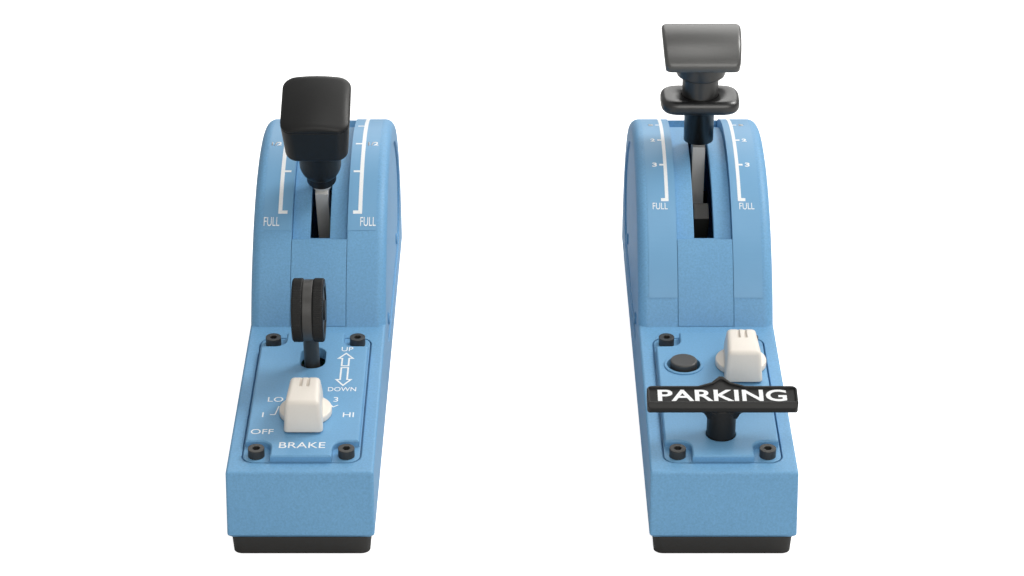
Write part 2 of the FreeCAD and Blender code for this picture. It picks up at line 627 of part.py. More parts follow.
# ------------------------------------------------------------------------------- the faceplates
def faceplate_blank(side):
    """A flange that lies in the deck's bed, and a raised panel with its four corners cut away."""
    body = new_body(side + "_plate_blank")
    pad(body, plate_outline(new_sketch(body, "XY_Plane", "-plate_flange")), "plate_flange")
    soften(body, upright, "plate_corner")
    edge = "plate_width / 2 - plate_inset"
    inner = "(plate_width / 2 - notch_width)"
    front = "plate_front"
    back = PLATE_BACK
    panel = polygon(new_sketch(body, "XY_Plane"), [
        (f"-{inner}", front), (inner, front), (inner, f"{front} + notch_length"),
        (edge, f"{front} + notch_length"), (edge, f"{back} - notch_length"),
        (inner, f"{back} - notch_length"), (inner, back), (f"-{inner}", back),
        (f"-{inner}", f"{back} - notch_length"), (f"-({edge})", f"{back} - notch_length"),
        (f"-({edge})", f"{front} + notch_length"), (f"-{inner}", f"{front} + notch_length"),
    ])
    pad(body, panel, "plate_rise")
    corner_x = number_of(inner)
    rise = number_of("plate_rise")
    ends = (number_of(f"{front} + notch_length"), number_of(f"{back} - notch_length"))

    def notch_corner(edge_):
        spot = edge_.BoundBox
        near_end = min(abs(spot.YMin - end) for end in ends) < 0.01
        return (upright(edge_) and near_end and abs(abs(spot.XMin) - corner_x) < 0.01
                and spot.ZMax > rise - 0.01)

    soften(body, notch_corner, "plate_corner")

    def top_edge(edge_):
        spot = edge_.BoundBox
        return spot.ZMin > rise - 0.01

    soften(body, top_edge, "plate_edge", "Chamfer")
    return body


def faceplate(side, cutters):
    thickness = "plate_flange + plate_rise + 2"
    holes = [rod("screw_radius + screw_clearance", thickness, x, y, "-plate_flange - 1")
             for x, y in deck_screw_spots()]
    on_deck(side + "_faceplate", cut(faceplate_blank(side), *holes, *cutters), side)


def plate_hole(radius, x, y):
    return rod(radius, "plate_flange + plate_rise + 2", x, y, "-plate_flange - 1")


def gear_slot():
    body = new_body("gear_slot")
    outline = stadium(new_sketch(body, "XY_Plane", "-plate_flange - 1"), "0", GEAR_Y,
                      "(gear_slot_length - gear_slot_width) / 2", "gear_slot_width / 2")
    pad(body, outline, "plate_flange + plate_rise + 2")
    return body


def hexagon_socket(across, depth, x, y, z):
    prism = doc.addObject("Part::Prism", "hexagon")
    prism.Polygon = 6
    bind(prism, Circumradius=f"({across}) / 1.7320508", Height=depth)
    return put(prism, x, y, z)


def faceplate_screws():
    """M4 socket-head screws that stand on the faceplates' flanges in the cut-away corners."""
    screws = []
    for side, sign in SIDES.items():
        for x, y in deck_screw_spots():
            head = rod("screw_head_radius", "screw_head_height")
            shank = rod("screw_radius", "screw_length", z="-screw_length")
            recess = hexagon_socket("screw_socket", "screw_socket_depth + 1", "0", "0",
                                    "screw_head_height - screw_socket_depth")
            screw = cut(fuse(head, shank), recess)
            spot = deck_spot(f"{sign} * module_pitch / 2 + ({x})", y, "0")
            screws.append(put(screw, *spot, turn="deck_slope"))
    register("faceplate_screws", group(*screws))


# ----------------------------------------------------------------------- base trays, screws, feet
def tray_outline(drawing, shrink):
    half = f"module_width / 2 - tray_inset - ({shrink})"
    return rectangle(drawing, f"-({half})", half, f"tray_inset - front_lean + ({shrink})",
                     f"{BODY_BACK} - tray_inset - ({shrink})")


def base_tray(side):
    """The black tray that closes a module from below: a floor, a drafted rim and screw posts."""
    body = new_body(side + "_tray_blank")
    rise = "base_height - tray_bottom"
    outer = pad(body, tray_outline(new_sketch(body, "XY_Plane", "base_height"), "0"), rise,
                reverse=True)
    outer.setExpression("TaperAngle", bound("-tray_draft"))
    doc.recompute()

    def corner(edge):
        spot = edge.BoundBox
        return spot.ZLength > number_of(rise) - 0.01

    soften(body, corner, "tray_corner")
    pocket(body, tray_outline(new_sketch(body, "XY_Plane", TRAY_TOP), "tray_rim"),
           "base_height - tray_bottom", reverse=True)
    posts = [rod("post_radius", f"base_height - {TRAY_TOP}", x, y, TRAY_TOP)
             for x, y in base_screw_spots()]
    holes = []
    for x, y in base_screw_spots():
        holes.append(rod("base_screw_radius + 0.15", "base_height", x, y, "0"))
        holes.append(rod("base_head_radius + 0.2", "base_head_height + 0.2", x, y, "tray_bottom"))
    holes += [rod("foot_radius", "foot_recess + 1", x, y, "tray_bottom - 1")
              for x, y in foot_spots()]
    in_module(side + "_base_tray", cut(fuse(body, *posts), *holes), side)


def foot_spots():
    for x in ("-foot_x", "foot_x"):
        for y in ("foot_front", f"{BODY_BACK} - foot_inset"):
            yield x, y


def base_screws():
    screws = []
    for side, sign in SIDES.items():
        for x, y in base_screw_spots():
            head = rod("base_head_radius", "base_head_height")
            shank = rod("base_screw_radius", "base_screw_length")
            screw = fuse(head, shank)
            screws.append(put(screw, f"{sign} * module_pitch / 2 + ({x})",
                              f"{FRONT_EDGE_Y} + {y}", "tray_bottom + 0.2"))
    register("base_screws", group(*screws))


def rubber_feet():
    feet = []
    for side, sign in SIDES.items():
        for x, y in foot_spots():
            foot = cone("foot_radius - 0.6", "foot_radius", "0.6")
            top = rod("foot_radius", "tray_bottom + foot_recess - 0.6", z="0.6")
            feet.append(put(fuse(foot, top), f"{sign} * module_pitch / 2 + ({x})",
                            f"{FRONT_EDGE_Y} + {y}", "0"))
    register("rubber_feet", group(*feet))


# ------------------------------------------------------------------------- pivots and electronics
def axle_pedestals():
    """Four bearing blocks, two a module, each with two pegs for a sensor board on its outside."""
    blocks = []
    bush_outer = "axle_radius + running_clearance + bush_wall"
    for side, sign in SIDES.items():
        for hand in (-1, 1):
            block = box(PEDESTAL_THICKNESS, "pedestal_length", f"pedestal_height - {TRAY_TOP}",
                        f"{PEDESTAL_IN} + {PEDESTAL_THICKNESS} / 2", "0", TRAY_TOP)
            pegs = [rod("peg_radius", "peg_length", PEDESTAL_OUT, y, "pivot_height", along="x")
                    for y in ("-peg_spread", "peg_spread")]
            bore = rod(bush_outer, f"{PEDESTAL_THICKNESS} + 2", f"{PEDESTAL_IN} - 1", "0",
                       "pivot_height", along="x")
            bracket = cut(fuse(block, *pegs), bore)
            if hand < 0:
                bracket.Placement = Placement(Vector(), Rotation(Vector(0, 0, 1), 180))
            blocks.append(put(bracket, f"{sign} * module_pitch / 2", f"{FRONT_EDGE_Y} + {DOME_Y}",
                              "0"))
    register("axle_pedestals", group(*blocks))


def pivot_bushes():
    """Flanged bronze bushes pressed into the bearing blocks."""
    bushes = []
    outer = "axle_radius + running_clearance + bush_wall"
    for side, sign in SIDES.items():
        for hand in (-1, 1):
            sleeve = rod(outer, PEDESTAL_THICKNESS, PEDESTAL_IN, along="x")
            flange = rod("washer_radius", "bush_flange", f"{PEDESTAL_IN} - bush_flange", along="x")
            bore = rod("axle_radius + running_clearance", f"{PEDESTAL_THICKNESS} + bush_flange + 2",
                       f"{PEDESTAL_IN} - bush_flange - 1", along="x")
            bush = cut(fuse(sleeve, flange), bore)
            if hand < 0:
                bush.Placement = Placement(Vector(), Rotation(Vector(0, 0, 1), 180))
            bushes.append(put(bush, f"{sign} * module_pitch / 2", f"{FRONT_EDGE_Y} + {DOME_Y}",
                              "pivot_height"))
    register("pivot_bushes", group(*bushes))


def lever_axle(label, side, tilt):
    """The steel axle that turns with the lever, with a flat end for the sensor magnet."""
    on_lever(label, cross_rod("axle_radius", f"{PEDESTAL_OUT} + 0.5"), side, tilt)


def friction_washers(label, side, tilt):
    """Sprung washers that ride on the axle against the hub and give the lever its drag."""
    washers = []
    for start in ("hub_half_width", f"-{HUB_END}"):
        disc = rod("washer_radius", "washer_thickness", start, along="x")
        hole = rod("axle_radius", "washer_thickness + 2", f"{start} - 1", along="x")
        washers.append(cut(disc, hole))
    on_lever(label, group(*washers), side, tilt)


def lever_magnet(label, side, tilt):
    on_lever(label, rod("magnet_radius", "magnet_length", f"{PEDESTAL_OUT} + 0.5", along="x"),
             side, tilt)


def sensor_board(side):
    """An angle sensor on a small upright board, held off the bearing block by its two pegs."""
    face = f"{PEDESTAL_OUT} + peg_length"
    board = box("board_thickness", "sensor_board_width", "sensor_board_height",
                f"{face} + board_thickness / 2", DOME_Y,
                "pivot_height - sensor_board_height / 2 + 3")
    chip = box("chip_height", "chip_size", "chip_size", f"{face} - chip_height / 2", DOME_Y,
               "pivot_height - chip_size / 2")
    in_module(side + "_sensor_board", fuse(board, chip), side)


def main_board(side):
    """The interface board on four stand-offs on the tray's floor."""
    half = "main_board_width / 2 - 4"
    far = "main_board_length / 2 - 4"
    board = box("main_board_width", "main_board_length", "board_thickness", "0", "0",
                f"{TRAY_TOP} + standoff_height")
    legs = [rod("standoff_radius", "standoff_height", x, y, TRAY_TOP)
            for x in (f"-({half})", half) for y in (f"-({far})", far)]
    chips = [box("chip_size * 2", "chip_size * 2", "chip_height", "0", "0",
                 f"{TRAY_TOP} + standoff_height + board_thickness")]
    register(side + "_main_board", fuse(board, *legs, *chips))
    put(parts[side + "_main_board"], f"{SIDES[side]} * module_pitch / 2",
        f"{FRONT_EDGE_Y} + {DOME_Y} - pedestal_length / 2 - board_gap - main_board_length / 2", "0")


def link_socket(side):
    """The modular socket in the rear wall that the link lead plugs into; the lead is separate."""
    back = f"{DOME_Y} + sqrt(dome_radius ^ 2 - (socket_centre_height - dome_centre_height) ^ 2)"
    low = "socket_centre_height - socket_height / 2"
    block = box("socket_width", "socket_depth", "socket_height", "0",
                f"{back} + socket_proud - socket_depth / 2", low)
    mouth = box("socket_mouth_width", "socket_mouth_depth + 1", "socket_mouth_height", "0",
                f"{back} + socket_proud - (socket_mouth_depth - 1) / 2",
                "socket_centre_height - socket_mouth_height / 2")
    lip = box("socket_width + 4", "2", "socket_height + 4", "0",
              f"{back} + socket_proud - socket_depth + 1", f"{low} - 2")
    in_module(side + "_link_socket", cut(fuse(block, lip), mouth), side)


# ------------------------------------------------------------------------------ speed-brake lever
def blade(reach, rod_length):
    """A flat steel blade with a hub at its foot and a round rod at its top."""
    plate = box("blade_thickness", "blade_depth", reach)
    hub = cross_rod("hub_radius", "hub_half_width")
    stalk = rod("rod_radius", rod_length, z=reach)
    bore = cross_rod("axle_radius", "hub_half_width + 1")
    return cut(fuse(plate, hub, stalk), bore)


def speed_brake_collar():
    """The black collar below the knob: a short neck, a bowl and a barrel, bored for the rod."""
    foot = cone("collar_neck_radius - collar_neck_round", "collar_neck_radius",
                "collar_neck_round", z=COLLAR_BOTTOM)
    neck = rod("collar_neck_radius", f"{COLLAR_BELL} - {COLLAR_BOTTOM} - collar_neck_round",
               z=f"{COLLAR_BOTTOM} + collar_neck_round")
    bowl = doc.addObject("Part::Sphere", "bowl")
    bind(bowl, Radius="collar_radius")
    put(bowl, z=COLLAR_BELL)
    barrel = rod("collar_radius", f"{BLADE_REACH} + collar_top_rise - {COLLAR_BELL}", z=COLLAR_BELL)
    bore = rod("rod_radius", "collar_top_rise + 1", z=BLADE_REACH)
    on_lever("speed_brake_collar", cut(fuse(foot, neck, bowl, barrel), bore), "left",
             "brake_tilt")


def speed_brake_knob():
    """The knob that is pushed down along the lever: a lower shell and a domed cap."""
    low = BRAKE_KNOB_Z
    split = f"({BRAKE_KNOB_Z} + brake_knob_height - brake_cap_height)"
    top = f"{BRAKE_KNOB_Z} + brake_knob_height"
    half_depth = "brake_knob_depth / 2"
    body = new_body("speed_brake_shell_blank")
    outline = polygon(new_sketch(body, "XZ_Plane"), [
        ("-brake_knob_waist / 2", low), ("brake_knob_waist / 2", low),
        ("brake_knob_width / 2", split), ("-brake_knob_width / 2", split),
    ])
    pad(body, outline, "brake_knob_depth", both_ways=True)
    span = number_of(f"{split} - {low}")

    def pillar(edge):
        return edge.BoundBox.ZLength > span - 0.01

    soften(body, pillar, "brake_knob_round")
    foot = number_of(low)

    def foot_edge(edge):
        return edge.BoundBox.ZMax < foot + 0.01

    soften(body, foot_edge, "brake_knob_round / 2.5")
    socket = rod("collar_radius + knob_clearance", "brake_socket_depth + 1", z=f"{low} - 1")
    bore = rod("rod_radius + running_clearance", f"{split} - {low}", z=low)
    on_lever("speed_brake_knob", cut(body, socket, bore), "left", "brake_tilt")

    cap = new_body("speed_brake_cap_blank")
    outline = rectangle(new_sketch(cap, "XY_Plane", split), "-brake_knob_width / 2",
                        "brake_knob_width / 2", f"-({half_depth})", half_depth)
    pad(cap, outline, "brake_cap_height")
    soften(cap, upright, "brake_knob_round")
    crown = doc.addObject("Part::Sphere", "crown")
    bind(crown, Radius="brake_crown_radius")
    put(crown, y="-brake_crown_lean", z=f"{top} - brake_crown_radius")
    on_lever("speed_brake_knob_cap", common(cap, crown), "left", "brake_tilt")


# ----------------------------------------------------------------------------------- flaps lever
def detent_arm():
    """A short second arm on the flaps lever's hub, seen at the front of the slot."""
    arm = box("detent_width", "detent_depth", "detent_reach - hub_radius + 1", "0", "0",
              "hub_radius - 1")
    seat = cross_rod("hub_radius", "detent_width")
    blade_room = group(box("detent_width + 2", "blade_depth", "detent_reach"))
    put(blade_room, turn="-detent_angle")
    on_lever("flaps_detent_arm", cut(arm, seat, blade_room), "right",
             "flaps_tilt + detent_angle")


def flaps_collar():
    """The neck between the lift plate and the knob, with a flange under the knob."""
    foot = f"({LIFT_WELL} + lift_travel + lift_stop_gap)"
    neck = rod("neck_radius", f"{FLANGE_Z} - {foot} + 1", z=foot)
    flange = rod("collar_flange_radius", f"{FLAPS_KNOB_Z} - {FLANGE_Z}", z=FLANGE_Z)
    bore = rod("rod_radius", FLAPS_KNOB_Z, z=BLADE_REACH)
    room = rod("spring_room_radius", "spring_room_length + 1", z=f"{foot} - 1")
    on_lever("flaps_collar", cut(fuse(neck, flange), bore, room), "right", "flaps_tilt")


def lift_plate():
    """The finger plate and tube that lift together to free the lever from its detent."""
    body = new_body("lift_plate_blank")
    outline = stadium(new_sketch(body, "XY_Plane", LIFT_PLATE_Z), "0", "0",
                      "(lift_plate_width - lift_plate_depth) / 2", "lift_plate_depth / 2",
                      along="x")
    pad(body, outline, "lift_plate_thickness")
    low = number_of(LIFT_PLATE_Z) + 0.01
    high = number_of(f"{LIFT_PLATE_Z} + lift_plate_thickness") - 0.01

    def rim(edge):
        return edge.BoundBox.ZMax < low or edge.BoundBox.ZMin > high

    soften(body, rim, "lift_plate_thickness * 0.42")
    tube = rod("lift_tube_radius", "lift_plate_rise - lift_tube_rise + 1",
               z=f"{BLADE_REACH} + lift_tube_rise")
    bore = rod("rod_radius + running_clearance", f"{LIFT_PLATE_Z} + lift_plate_thickness",
               z=f"{BLADE_REACH} + lift_tube_rise - 1")
    well = rod("neck_radius + knob_clearance", "lift_plate_thickness", z=LIFT_WELL)
    on_lever("flaps_lift_plate", cut(fuse(body, tube), bore, well), "right", "flaps_tilt")


def flaps_knob():
    """A knob like a wing flap: its top is one long curve, high at the back and low in front."""
    body = new_body("flaps_knob_blank")
    low = FLAPS_KNOB_Z
    outline = rectangle(new_sketch(body, "XY_Plane", low), "-flaps_knob_width / 2",
                        "flaps_knob_width / 2", "-flaps_knob_front", "flaps_knob_back")
    pad(body, outline, "flaps_knob_height")
    soften(body, upright, "flaps_knob_round")
    foot = number_of(low) + 0.01
    soften(body, lambda edge: edge.BoundBox.ZMax < foot, "flaps_knob_foot")
    crown = cross_rod("flaps_crown_radius", "flaps_knob_width", "flaps_crown_offset",
                      f"{low} + flaps_knob_height - flaps_crown_radius")
    bore = rod("rod_radius", f"{BLADE_REACH} + flaps_rod_length - {low} + 1", z=f"{low} - 1")
    on_lever("flaps_knob", cut(common(body, crown), bore), "right", "flaps_tilt")


# ---------------------------------------------------------------------------- landing-gear lever
def gear_lever():
    """A thin stem with a cross hub at its foot and a small wheel at its top."""
    stem = rod("gear_stem_radius", "gear_wheel_height - gear_band_radius + 2")
    hub = cross_rod("gear_hub_radius", "gear_hub_width / 2")
    tail = rod("gear_stem_radius - 1", "gear_hub_radius + 3", z="-gear_hub_radius - 3")
    pin_hole = cross_rod("gear_pin_radius + running_clearance", "gear_hub_width")
    rooms = [cross_rod("gear_band_radius", "gear_wheel_width", z="gear_wheel_height")]
    for start in ("gear_band_width / 2", "-gear_band_width / 2 - gear_wheel_width"):
        rooms.append(rod("gear_wheel_radius", "gear_wheel_width", start, "0",
                         "gear_wheel_height", along="x"))
    lever = cut(fuse(stem, hub, tail), pin_hole, *rooms)
    spot = {"y": GEAR_Y, "z": "-gear_pivot_depth", "lean": "gear_tilt"}
    on_deck("gear_lever_stem", lever, "left", **spot)

    band = cross_rod("gear_band_radius", "gear_band_width / 2", z="gear_wheel_height")
    seat = cross_rod("gear_seat_radius", "gear_wheel_width / 2 - 0.6", z="gear_wheel_height")
    hub_disc = fuse(band, seat)
    seats = [rod("gear_axle_radius", "gear_wheel_width", x, "0", "gear_wheel_height", along="x")
             for x in ("gear_wheel_width / 2 - 2", "-gear_wheel_width / 2 + 2 - gear_wheel_width")]
    on_deck("gear_wheel_hub", cut(hub_disc, *seats), "left", **spot)

    tyres = []
    tyre_width = "(gear_wheel_width - gear_band_width) / 2"
    for start in ("gear_band_width / 2", "-gear_wheel_width / 2"):
        body = new_body("tyre_blank")
        outline = circle(new_sketch(body, "YZ_Plane", start), "0", "gear_wheel_height",
                         "gear_wheel_radius")
        pad(body, outline, tyre_width)
        soften(body, lambda edge: edge.Curve.TypeId == "Part::GeomCircle", "gear_tyre_round",
               "Chamfer")
        hole = rod("gear_seat_radius", "gear_wheel_width * 2", "-gear_wheel_width", "0",
                   "gear_wheel_height", along="x")
        tyres.append(cut(body, hole))
    on_deck("gear_wheel_tyres", group(*tyres), "left", **spot)

    caps = []
    for hand in (-1, 1):
        start = "gear_wheel_width / 2 - 2" if hand > 0 else "-gear_wheel_width / 2 + 2 - 2.4"
        plug = rod("gear_axle_radius", "2.4", start, "0", "gear_wheel_height", along="x")
        rim_start = "gear_wheel_width / 2 - 0.6" if hand > 0 else "-gear_wheel_width / 2 - 0.4"
        rim = rod("gear_axle_radius + 2", "1", rim_start, "0", "gear_wheel_height", along="x")
        caps.append(fuse(plug, rim))
    on_deck("gear_wheel_caps", group(*caps), "left", **spot)


def gear_bracket():
    """A saddle under the faceplate with two ears that hold the gear lever's pin."""
    inner = "(gear_hub_width / 2 + gear_ear_gap)"
    top = box("gear_bracket_width", "gear_bracket_length", "gear_bracket_top", "0", "0",
              "-plate_flange - gear_bracket_top")
    ear_height = "gear_pivot_depth + gear_bracket_reach - plate_flange"
    ears = [box("gear_ear_thickness", "gear_bracket_length / 2", ear_height,
                f"{hand} * ({inner} + gear_ear_thickness / 2)", "0",
                "-gear_pivot_depth - gear_bracket_reach") for hand in (-1, 1)]
    window = box("gear_slot_width", "gear_slot_length", "gear_bracket_top + 2", "0", "0",
                 "-plate_flange - gear_bracket_top - 1")
    pin_hole = cross_rod("gear_pin_radius", f"{inner} + gear_ear_thickness + 1", "0",
                         "-gear_pivot_depth")
    gap = box(f"2 * {inner}", "gear_bracket_length", "gear_pivot_depth + gear_bracket_reach", "0",
              "0", "-gear_pivot_depth - gear_bracket_reach - plate_flange - gear_bracket_top")
    bracket = cut(fuse(top, *ears), window, pin_hole, gap)
    on_deck("gear_bracket", bracket, "left", y=GEAR_Y)
    pin = cross_rod("gear_pin_radius", f"{inner} + gear_ear_thickness + 0.5", "0",
                    "-gear_pivot_depth")
    on_deck("gear_pivot_pin", pin, "left", y=GEAR_Y)
    switch = box("switch_width", "switch_length", "switch_depth",
                 f"{inner} + gear_ear_thickness + switch_width / 2", "gear_bracket_length / 12",
                 "-gear_pivot_depth + gear_pin_radius + 1.5")
    on_deck("gear_switch", switch, "left", y=GEAR_Y)


# ------------------------------------------------------------------- selector knob and trim knob
def pointer_knob(name):
    """A tapered bar grip over a round skirt: a steep front, a flat top and a nose that slopes down
    to the back, with two pointer grooves at the back of the top."""
    body = new_body(name + "_side")
    foot = "grip_overhang"
    top = "grip_height"
    outline = polygon(new_sketch(body, "YZ_Plane"), [
        ("-grip_front", foot), ("-grip_top_front", top), ("grip_top_back", top),
        ("grip_back", f"{top} * 0.3"), ("grip_back - 0.6", foot),
    ])
    pad(body, outline, "grip_width + 2", both_ways=True)
    plan = new_body(name + "_plan")
    outline = polygon(new_sketch(plan, "XY_Plane"), [
        ("-grip_width / 2", "-grip_front"), ("grip_width / 2", "-grip_front"),
        ("grip_nose_width / 2", "grip_back"), ("-grip_nose_width / 2", "grip_back"),
    ])
    pad(plan, outline, "grip_height + 1")
    soften(plan, upright, "grip_round")
    grooves = [box("groove_width", "groove_length", "groove_depth + 1", x,
                   "grip_top_back + 1 - groove_length / 2", f"{top} - groove_depth")
               for x in ("-groove_pitch / 2", "groove_pitch / 2")]
    skirt = rod("skirt_radius", "skirt_thickness")
    bore = rod("knob_shaft_radius", "knob_shaft_depth + 1", z="-1")
    return cut(fuse(common(body, plan), skirt), bore, *grooves)


def rotary_control(name, side, x, y):
    """A pointer knob on the D-shaped shaft of a control that hangs under the faceplate."""
    on_deck(name + "_knob", pointer_knob(name), side, x=x, y=y, z=KNOB_BASE)
    reach = f"{KNOB_BASE} + plate_flange + knob_shaft_reach"
    shaft = rod("knob_shaft_radius", f"knob_shaft_depth + {reach}", z=f"-({reach})")
    on_deck(name + "_shaft", shaft, side, x=x, y=y, z=KNOB_BASE)


def selector_switch():
    body = box("selector_body_size", "selector_body_size", "selector_body_height", "0", "0",
               "-plate_flange - selector_body_height")
    neck = rod("switch_bush_radius", "plate_flange + plate_rise", z="-plate_flange")
    bore = rod("knob_shaft_radius + running_clearance", "knob_shaft_reach + plate_flange + 12",
               z="-plate_flange - knob_shaft_reach - 0.5")
    on_deck("selector_switch", cut(fuse(body, neck), bore), "left", y="selector_y")


def trim_potentiometer():
    can = rod("pot_radius", "pot_height", z="-plate_flange - pot_height")
    neck = rod("switch_bush_radius", "plate_flange + plate_rise", z="-plate_flange")
    bore = rod("knob_shaft_radius + running_clearance", "knob_shaft_reach + plate_flange + 12",
               z="-plate_flange - knob_shaft_reach - 0.5")
    on_deck("trim_potentiometer", cut(fuse(can, neck), bore), "right", x="trim_x", y=TRIM_Y)


# ------------------------------------------------------------------------------- push button
def push_button():
    spot = {"x": "button_x", "y": BUTTON_Y}
    crown = f"{PLATE_TOP} + button_top"
    cap = new_body("button_cap_blank")
    outline = circle(new_sketch(cap, "XY_Plane", f"{crown} - button_skirt"), "0", "0",
                     "button_radius")
    pad(cap, outline, "button_skirt")
    high = number_of(crown) - 0.01
    soften(cap, lambda edge: edge.BoundBox.ZMin > high, "0.7")
    stem = rod("button_stem_radius", "button_stem_length + 1",
               z=f"{crown} - button_skirt - button_stem_length")
    on_deck("push_button", fuse(cap, stem), "right", **spot)

    sleeve = rod("bezel_outer", "bezel_depth + plate_rise", z="-bezel_depth")
    flange = new_body("bezel_flange_blank")
    pad(flange, circle(new_sketch(flange, "XY_Plane", PLATE_TOP), "0", "0",
                       "bezel_flange_radius"), "bezel_rise")
    top = number_of("plate_rise + bezel_rise") - 0.01
    soften(flange, lambda edge: edge.BoundBox.ZMin > top, "bezel_rise * 0.6")
    hole = rod("bezel_inner", "bezel_depth + plate_rise + 8", z="-bezel_depth - 1")
    on_deck("button_bezel", cut(fuse(sleeve, flange), hole), "right", **spot)

    switch = box("tact_size", "tact_size", "tact_height", "0", "0", "-bezel_depth - tact_height")
    well = rod("button_stem_radius + 0.3", "tact_height", z="-bezel_depth - tact_height + 1.2")
    on_deck("button_switch", cut(switch, well), "right", **spot)


# ------------------------------------------------------------------------ parking-brake handle
def park_handle():
    """A T-shaped pull handle: a bar with a sunk label face and a peak, on a round stem."""
    half = "park_bar_length / 2"
    back = "park_bar_back"
    plan = new_body("park_bar_plan")
    outline = polygon(new_sketch(plan, "XY_Plane"), [
        (f"-({half})", "-park_bar_front"), (half, "-park_bar_front"), (half, back),
        ("park_peak_width / 2", back), ("park_peak_width / 5", f"{back} + park_peak * 0.4"),
        ("0.8", f"{back} + park_peak"), ("-0.8", f"{back} + park_peak"),
        ("-park_peak_width / 5", f"{back} + park_peak * 0.4"), ("-park_peak_width / 2", back),
        (f"-({half})", back),
    ])
    pad(plan, outline, "park_bar_thickness")
    reach = number_of(half) - 0.01

    def bar_corner(edge):
        return upright(edge) and abs(edge.BoundBox.XMin) > reach

    soften(plan, bar_corner, "park_bar_round")
    section = new_body("park_bar_section")
    outline = polygon(new_sketch(section, "YZ_Plane"), [
        ("-park_bar_front + park_bar_bevel * 0.3", "0"),
        ("-park_bar_front", "park_bar_thickness * 0.24"),
        ("-park_bar_front + park_bar_bevel * 0.25", "park_bar_thickness * 0.62"),
        ("-park_bar_front + park_bar_bevel", "park_bar_thickness"),
        (f"{back} + park_peak + 1", "park_bar_thickness"), (f"{back} + park_peak + 1", "0"),
    ])
    pad(section, outline, "park_bar_length + 2", both_ways=True)
    label = new_body("park_label")
    rim = "park_rim"
    front = "-park_bar_front + park_bar_bevel + park_rim"
    face = polygon(new_sketch(label, "XY_Plane", "park_bar_thickness - park_label_depth"), [
        (f"-({half}) + {rim}", front), (f"{half} - {rim}", front),
        (f"{half} - {rim}", f"{back} - {rim}"), ("park_peak_width / 2", f"{back} - {rim}"),
        ("park_peak_width / 5 - 0.6", f"{back} + park_peak * 0.4 - {rim}"),
        ("0.5", f"{back} + park_peak - 2 * {rim}"), ("-0.5", f"{back} + park_peak - 2 * {rim}"),
        ("-park_peak_width / 5 + 0.6", f"{back} + park_peak * 0.4 - {rim}"),
        ("-park_peak_width / 2", f"{back} - {rim}"), (f"-({half}) + {rim}", f"{back} - {rim}"),
    ])
    pad(label, face, "park_label_depth + 1")
    high = "park_bar_height"
    bar = put(cut(common(plan, section), label), z=high, turn="park_bar_tilt")
    above_bar = group(box("park_bar_length", "park_bar_length", "park_bar_length", z="0.6"))
    put(above_bar, z=high, turn="park_bar_tilt")
    stem_foot = "(-plate_flange - park_guide_shoulder - park_spring_room)"
    stem = rod("park_stem_radius", f"{high} + park_bar_thickness - {stem_foot}", z=stem_foot)
    flare = common(cone("park_stem_radius", "park_stem_radius + 2 * park_flare",
                        "2 * park_flare", z=f"{high} - park_flare"),
                   box("4 * park_stem_radius", "2 * park_bar_front - 1", "3 * park_flare",
                       z=f"{high} - park_flare"))
    shaft_length = "park_slider_height + park_clip_thickness + 0.2"
    shaft = rod("park_shaft_radius", f"{shaft_length} + 2", z=f"{stem_foot} - {shaft_length}")
    on_deck("park_handle", fuse(bar, cut(fuse(stem, flare), above_bar), shaft), "right", y="park_y")

    clip = cut(rod("park_clip_radius", "park_clip_thickness",
                   z=f"{stem_foot} - park_slider_height - park_clip_thickness - 0.1"),
               rod("park_shaft_radius", "park_clip_thickness + 2",
                   z=f"{stem_foot} - park_slider_height - park_clip_thickness - 1"))
    on_deck("park_clip", clip, "right", y="park_y")

    slider = box("park_slider_size", "park_slider_size", "park_slider_height - 0.1", "0", "0",
                 f"{stem_foot} - park_slider_height")
    bore = rod("park_shaft_radius + running_clearance", "park_slider_height + 2",
               z=f"{stem_foot} - park_slider_height - 1")
    on_deck("park_slider", cut(slider, bore), "right", y="park_y")

    tower = box("park_guide_size", "park_guide_size", "park_guide_length", "0", "0",
                "-plate_flange - park_guide_length")
    upper = rod("park_stem_radius + park_collar_clearance", "park_guide_length + 2",
                z="-plate_flange - park_guide_length - 1")
    lower = box("park_slider_size + 0.3", "park_slider_size + 0.3",
                "park_guide_length - park_guide_shoulder", "0", "0",
                "-plate_flange - park_guide_length")
    on_deck("park_guide", cut(tower, upper, lower), "right", y="park_y")


# ----------------------------------------------------------------------------------- assembly
for side in SIDES:
    housing(side)
    side_cover(side, "outer", SIDES[side])
    side_cover(side, "inner", -SIDES[side])
    quadrant_insert(side)
    base_tray(side)
    sensor_board(side)
    main_board(side)
    link_socket(side)
cover_screws()
faceplate("left", [gear_slot(), plate_hole("switch_bush_radius", "0", "selector_y")])
faceplate("right", [plate_hole("bezel_outer", "button_x", BUTTON_Y),
                    plate_hole("switch_bush_radius", "trim_x", TRIM_Y),
                    plate_hole("park_stem_radius + 0.3", "0", "park_y")])
faceplate_screws()
base_screws()
rubber_feet()
axle_pedestals()
pivot_bushes()
for name, side, tilt, stalk in (("speed_brake", "left", "brake_tilt", "brake_rod_length"),
                              ("flaps", "right", "flaps_tilt", "flaps_rod_length")):
    on_lever(name + "_blade", blade(BLADE_REACH, stalk), side, tilt)
    lever_axle(name + "_axle", side, tilt)
    friction_washers(name + "_washers", side, tilt)
    lever_magnet(name + "_magnet", side, tilt)
speed_brake_collar()
speed_brake_knob()
detent_arm()
flaps_collar()
lift_plate()
flaps_knob()
gear_lever()
gear_bracket()
rotary_control("selector", "left", "0", "selector_y")
selector_switch()
rotary_control("trim", "right", "trim_x", TRIM_Y)
trim_potentiometer()
push_button()
park_handle()
doc.recompute()

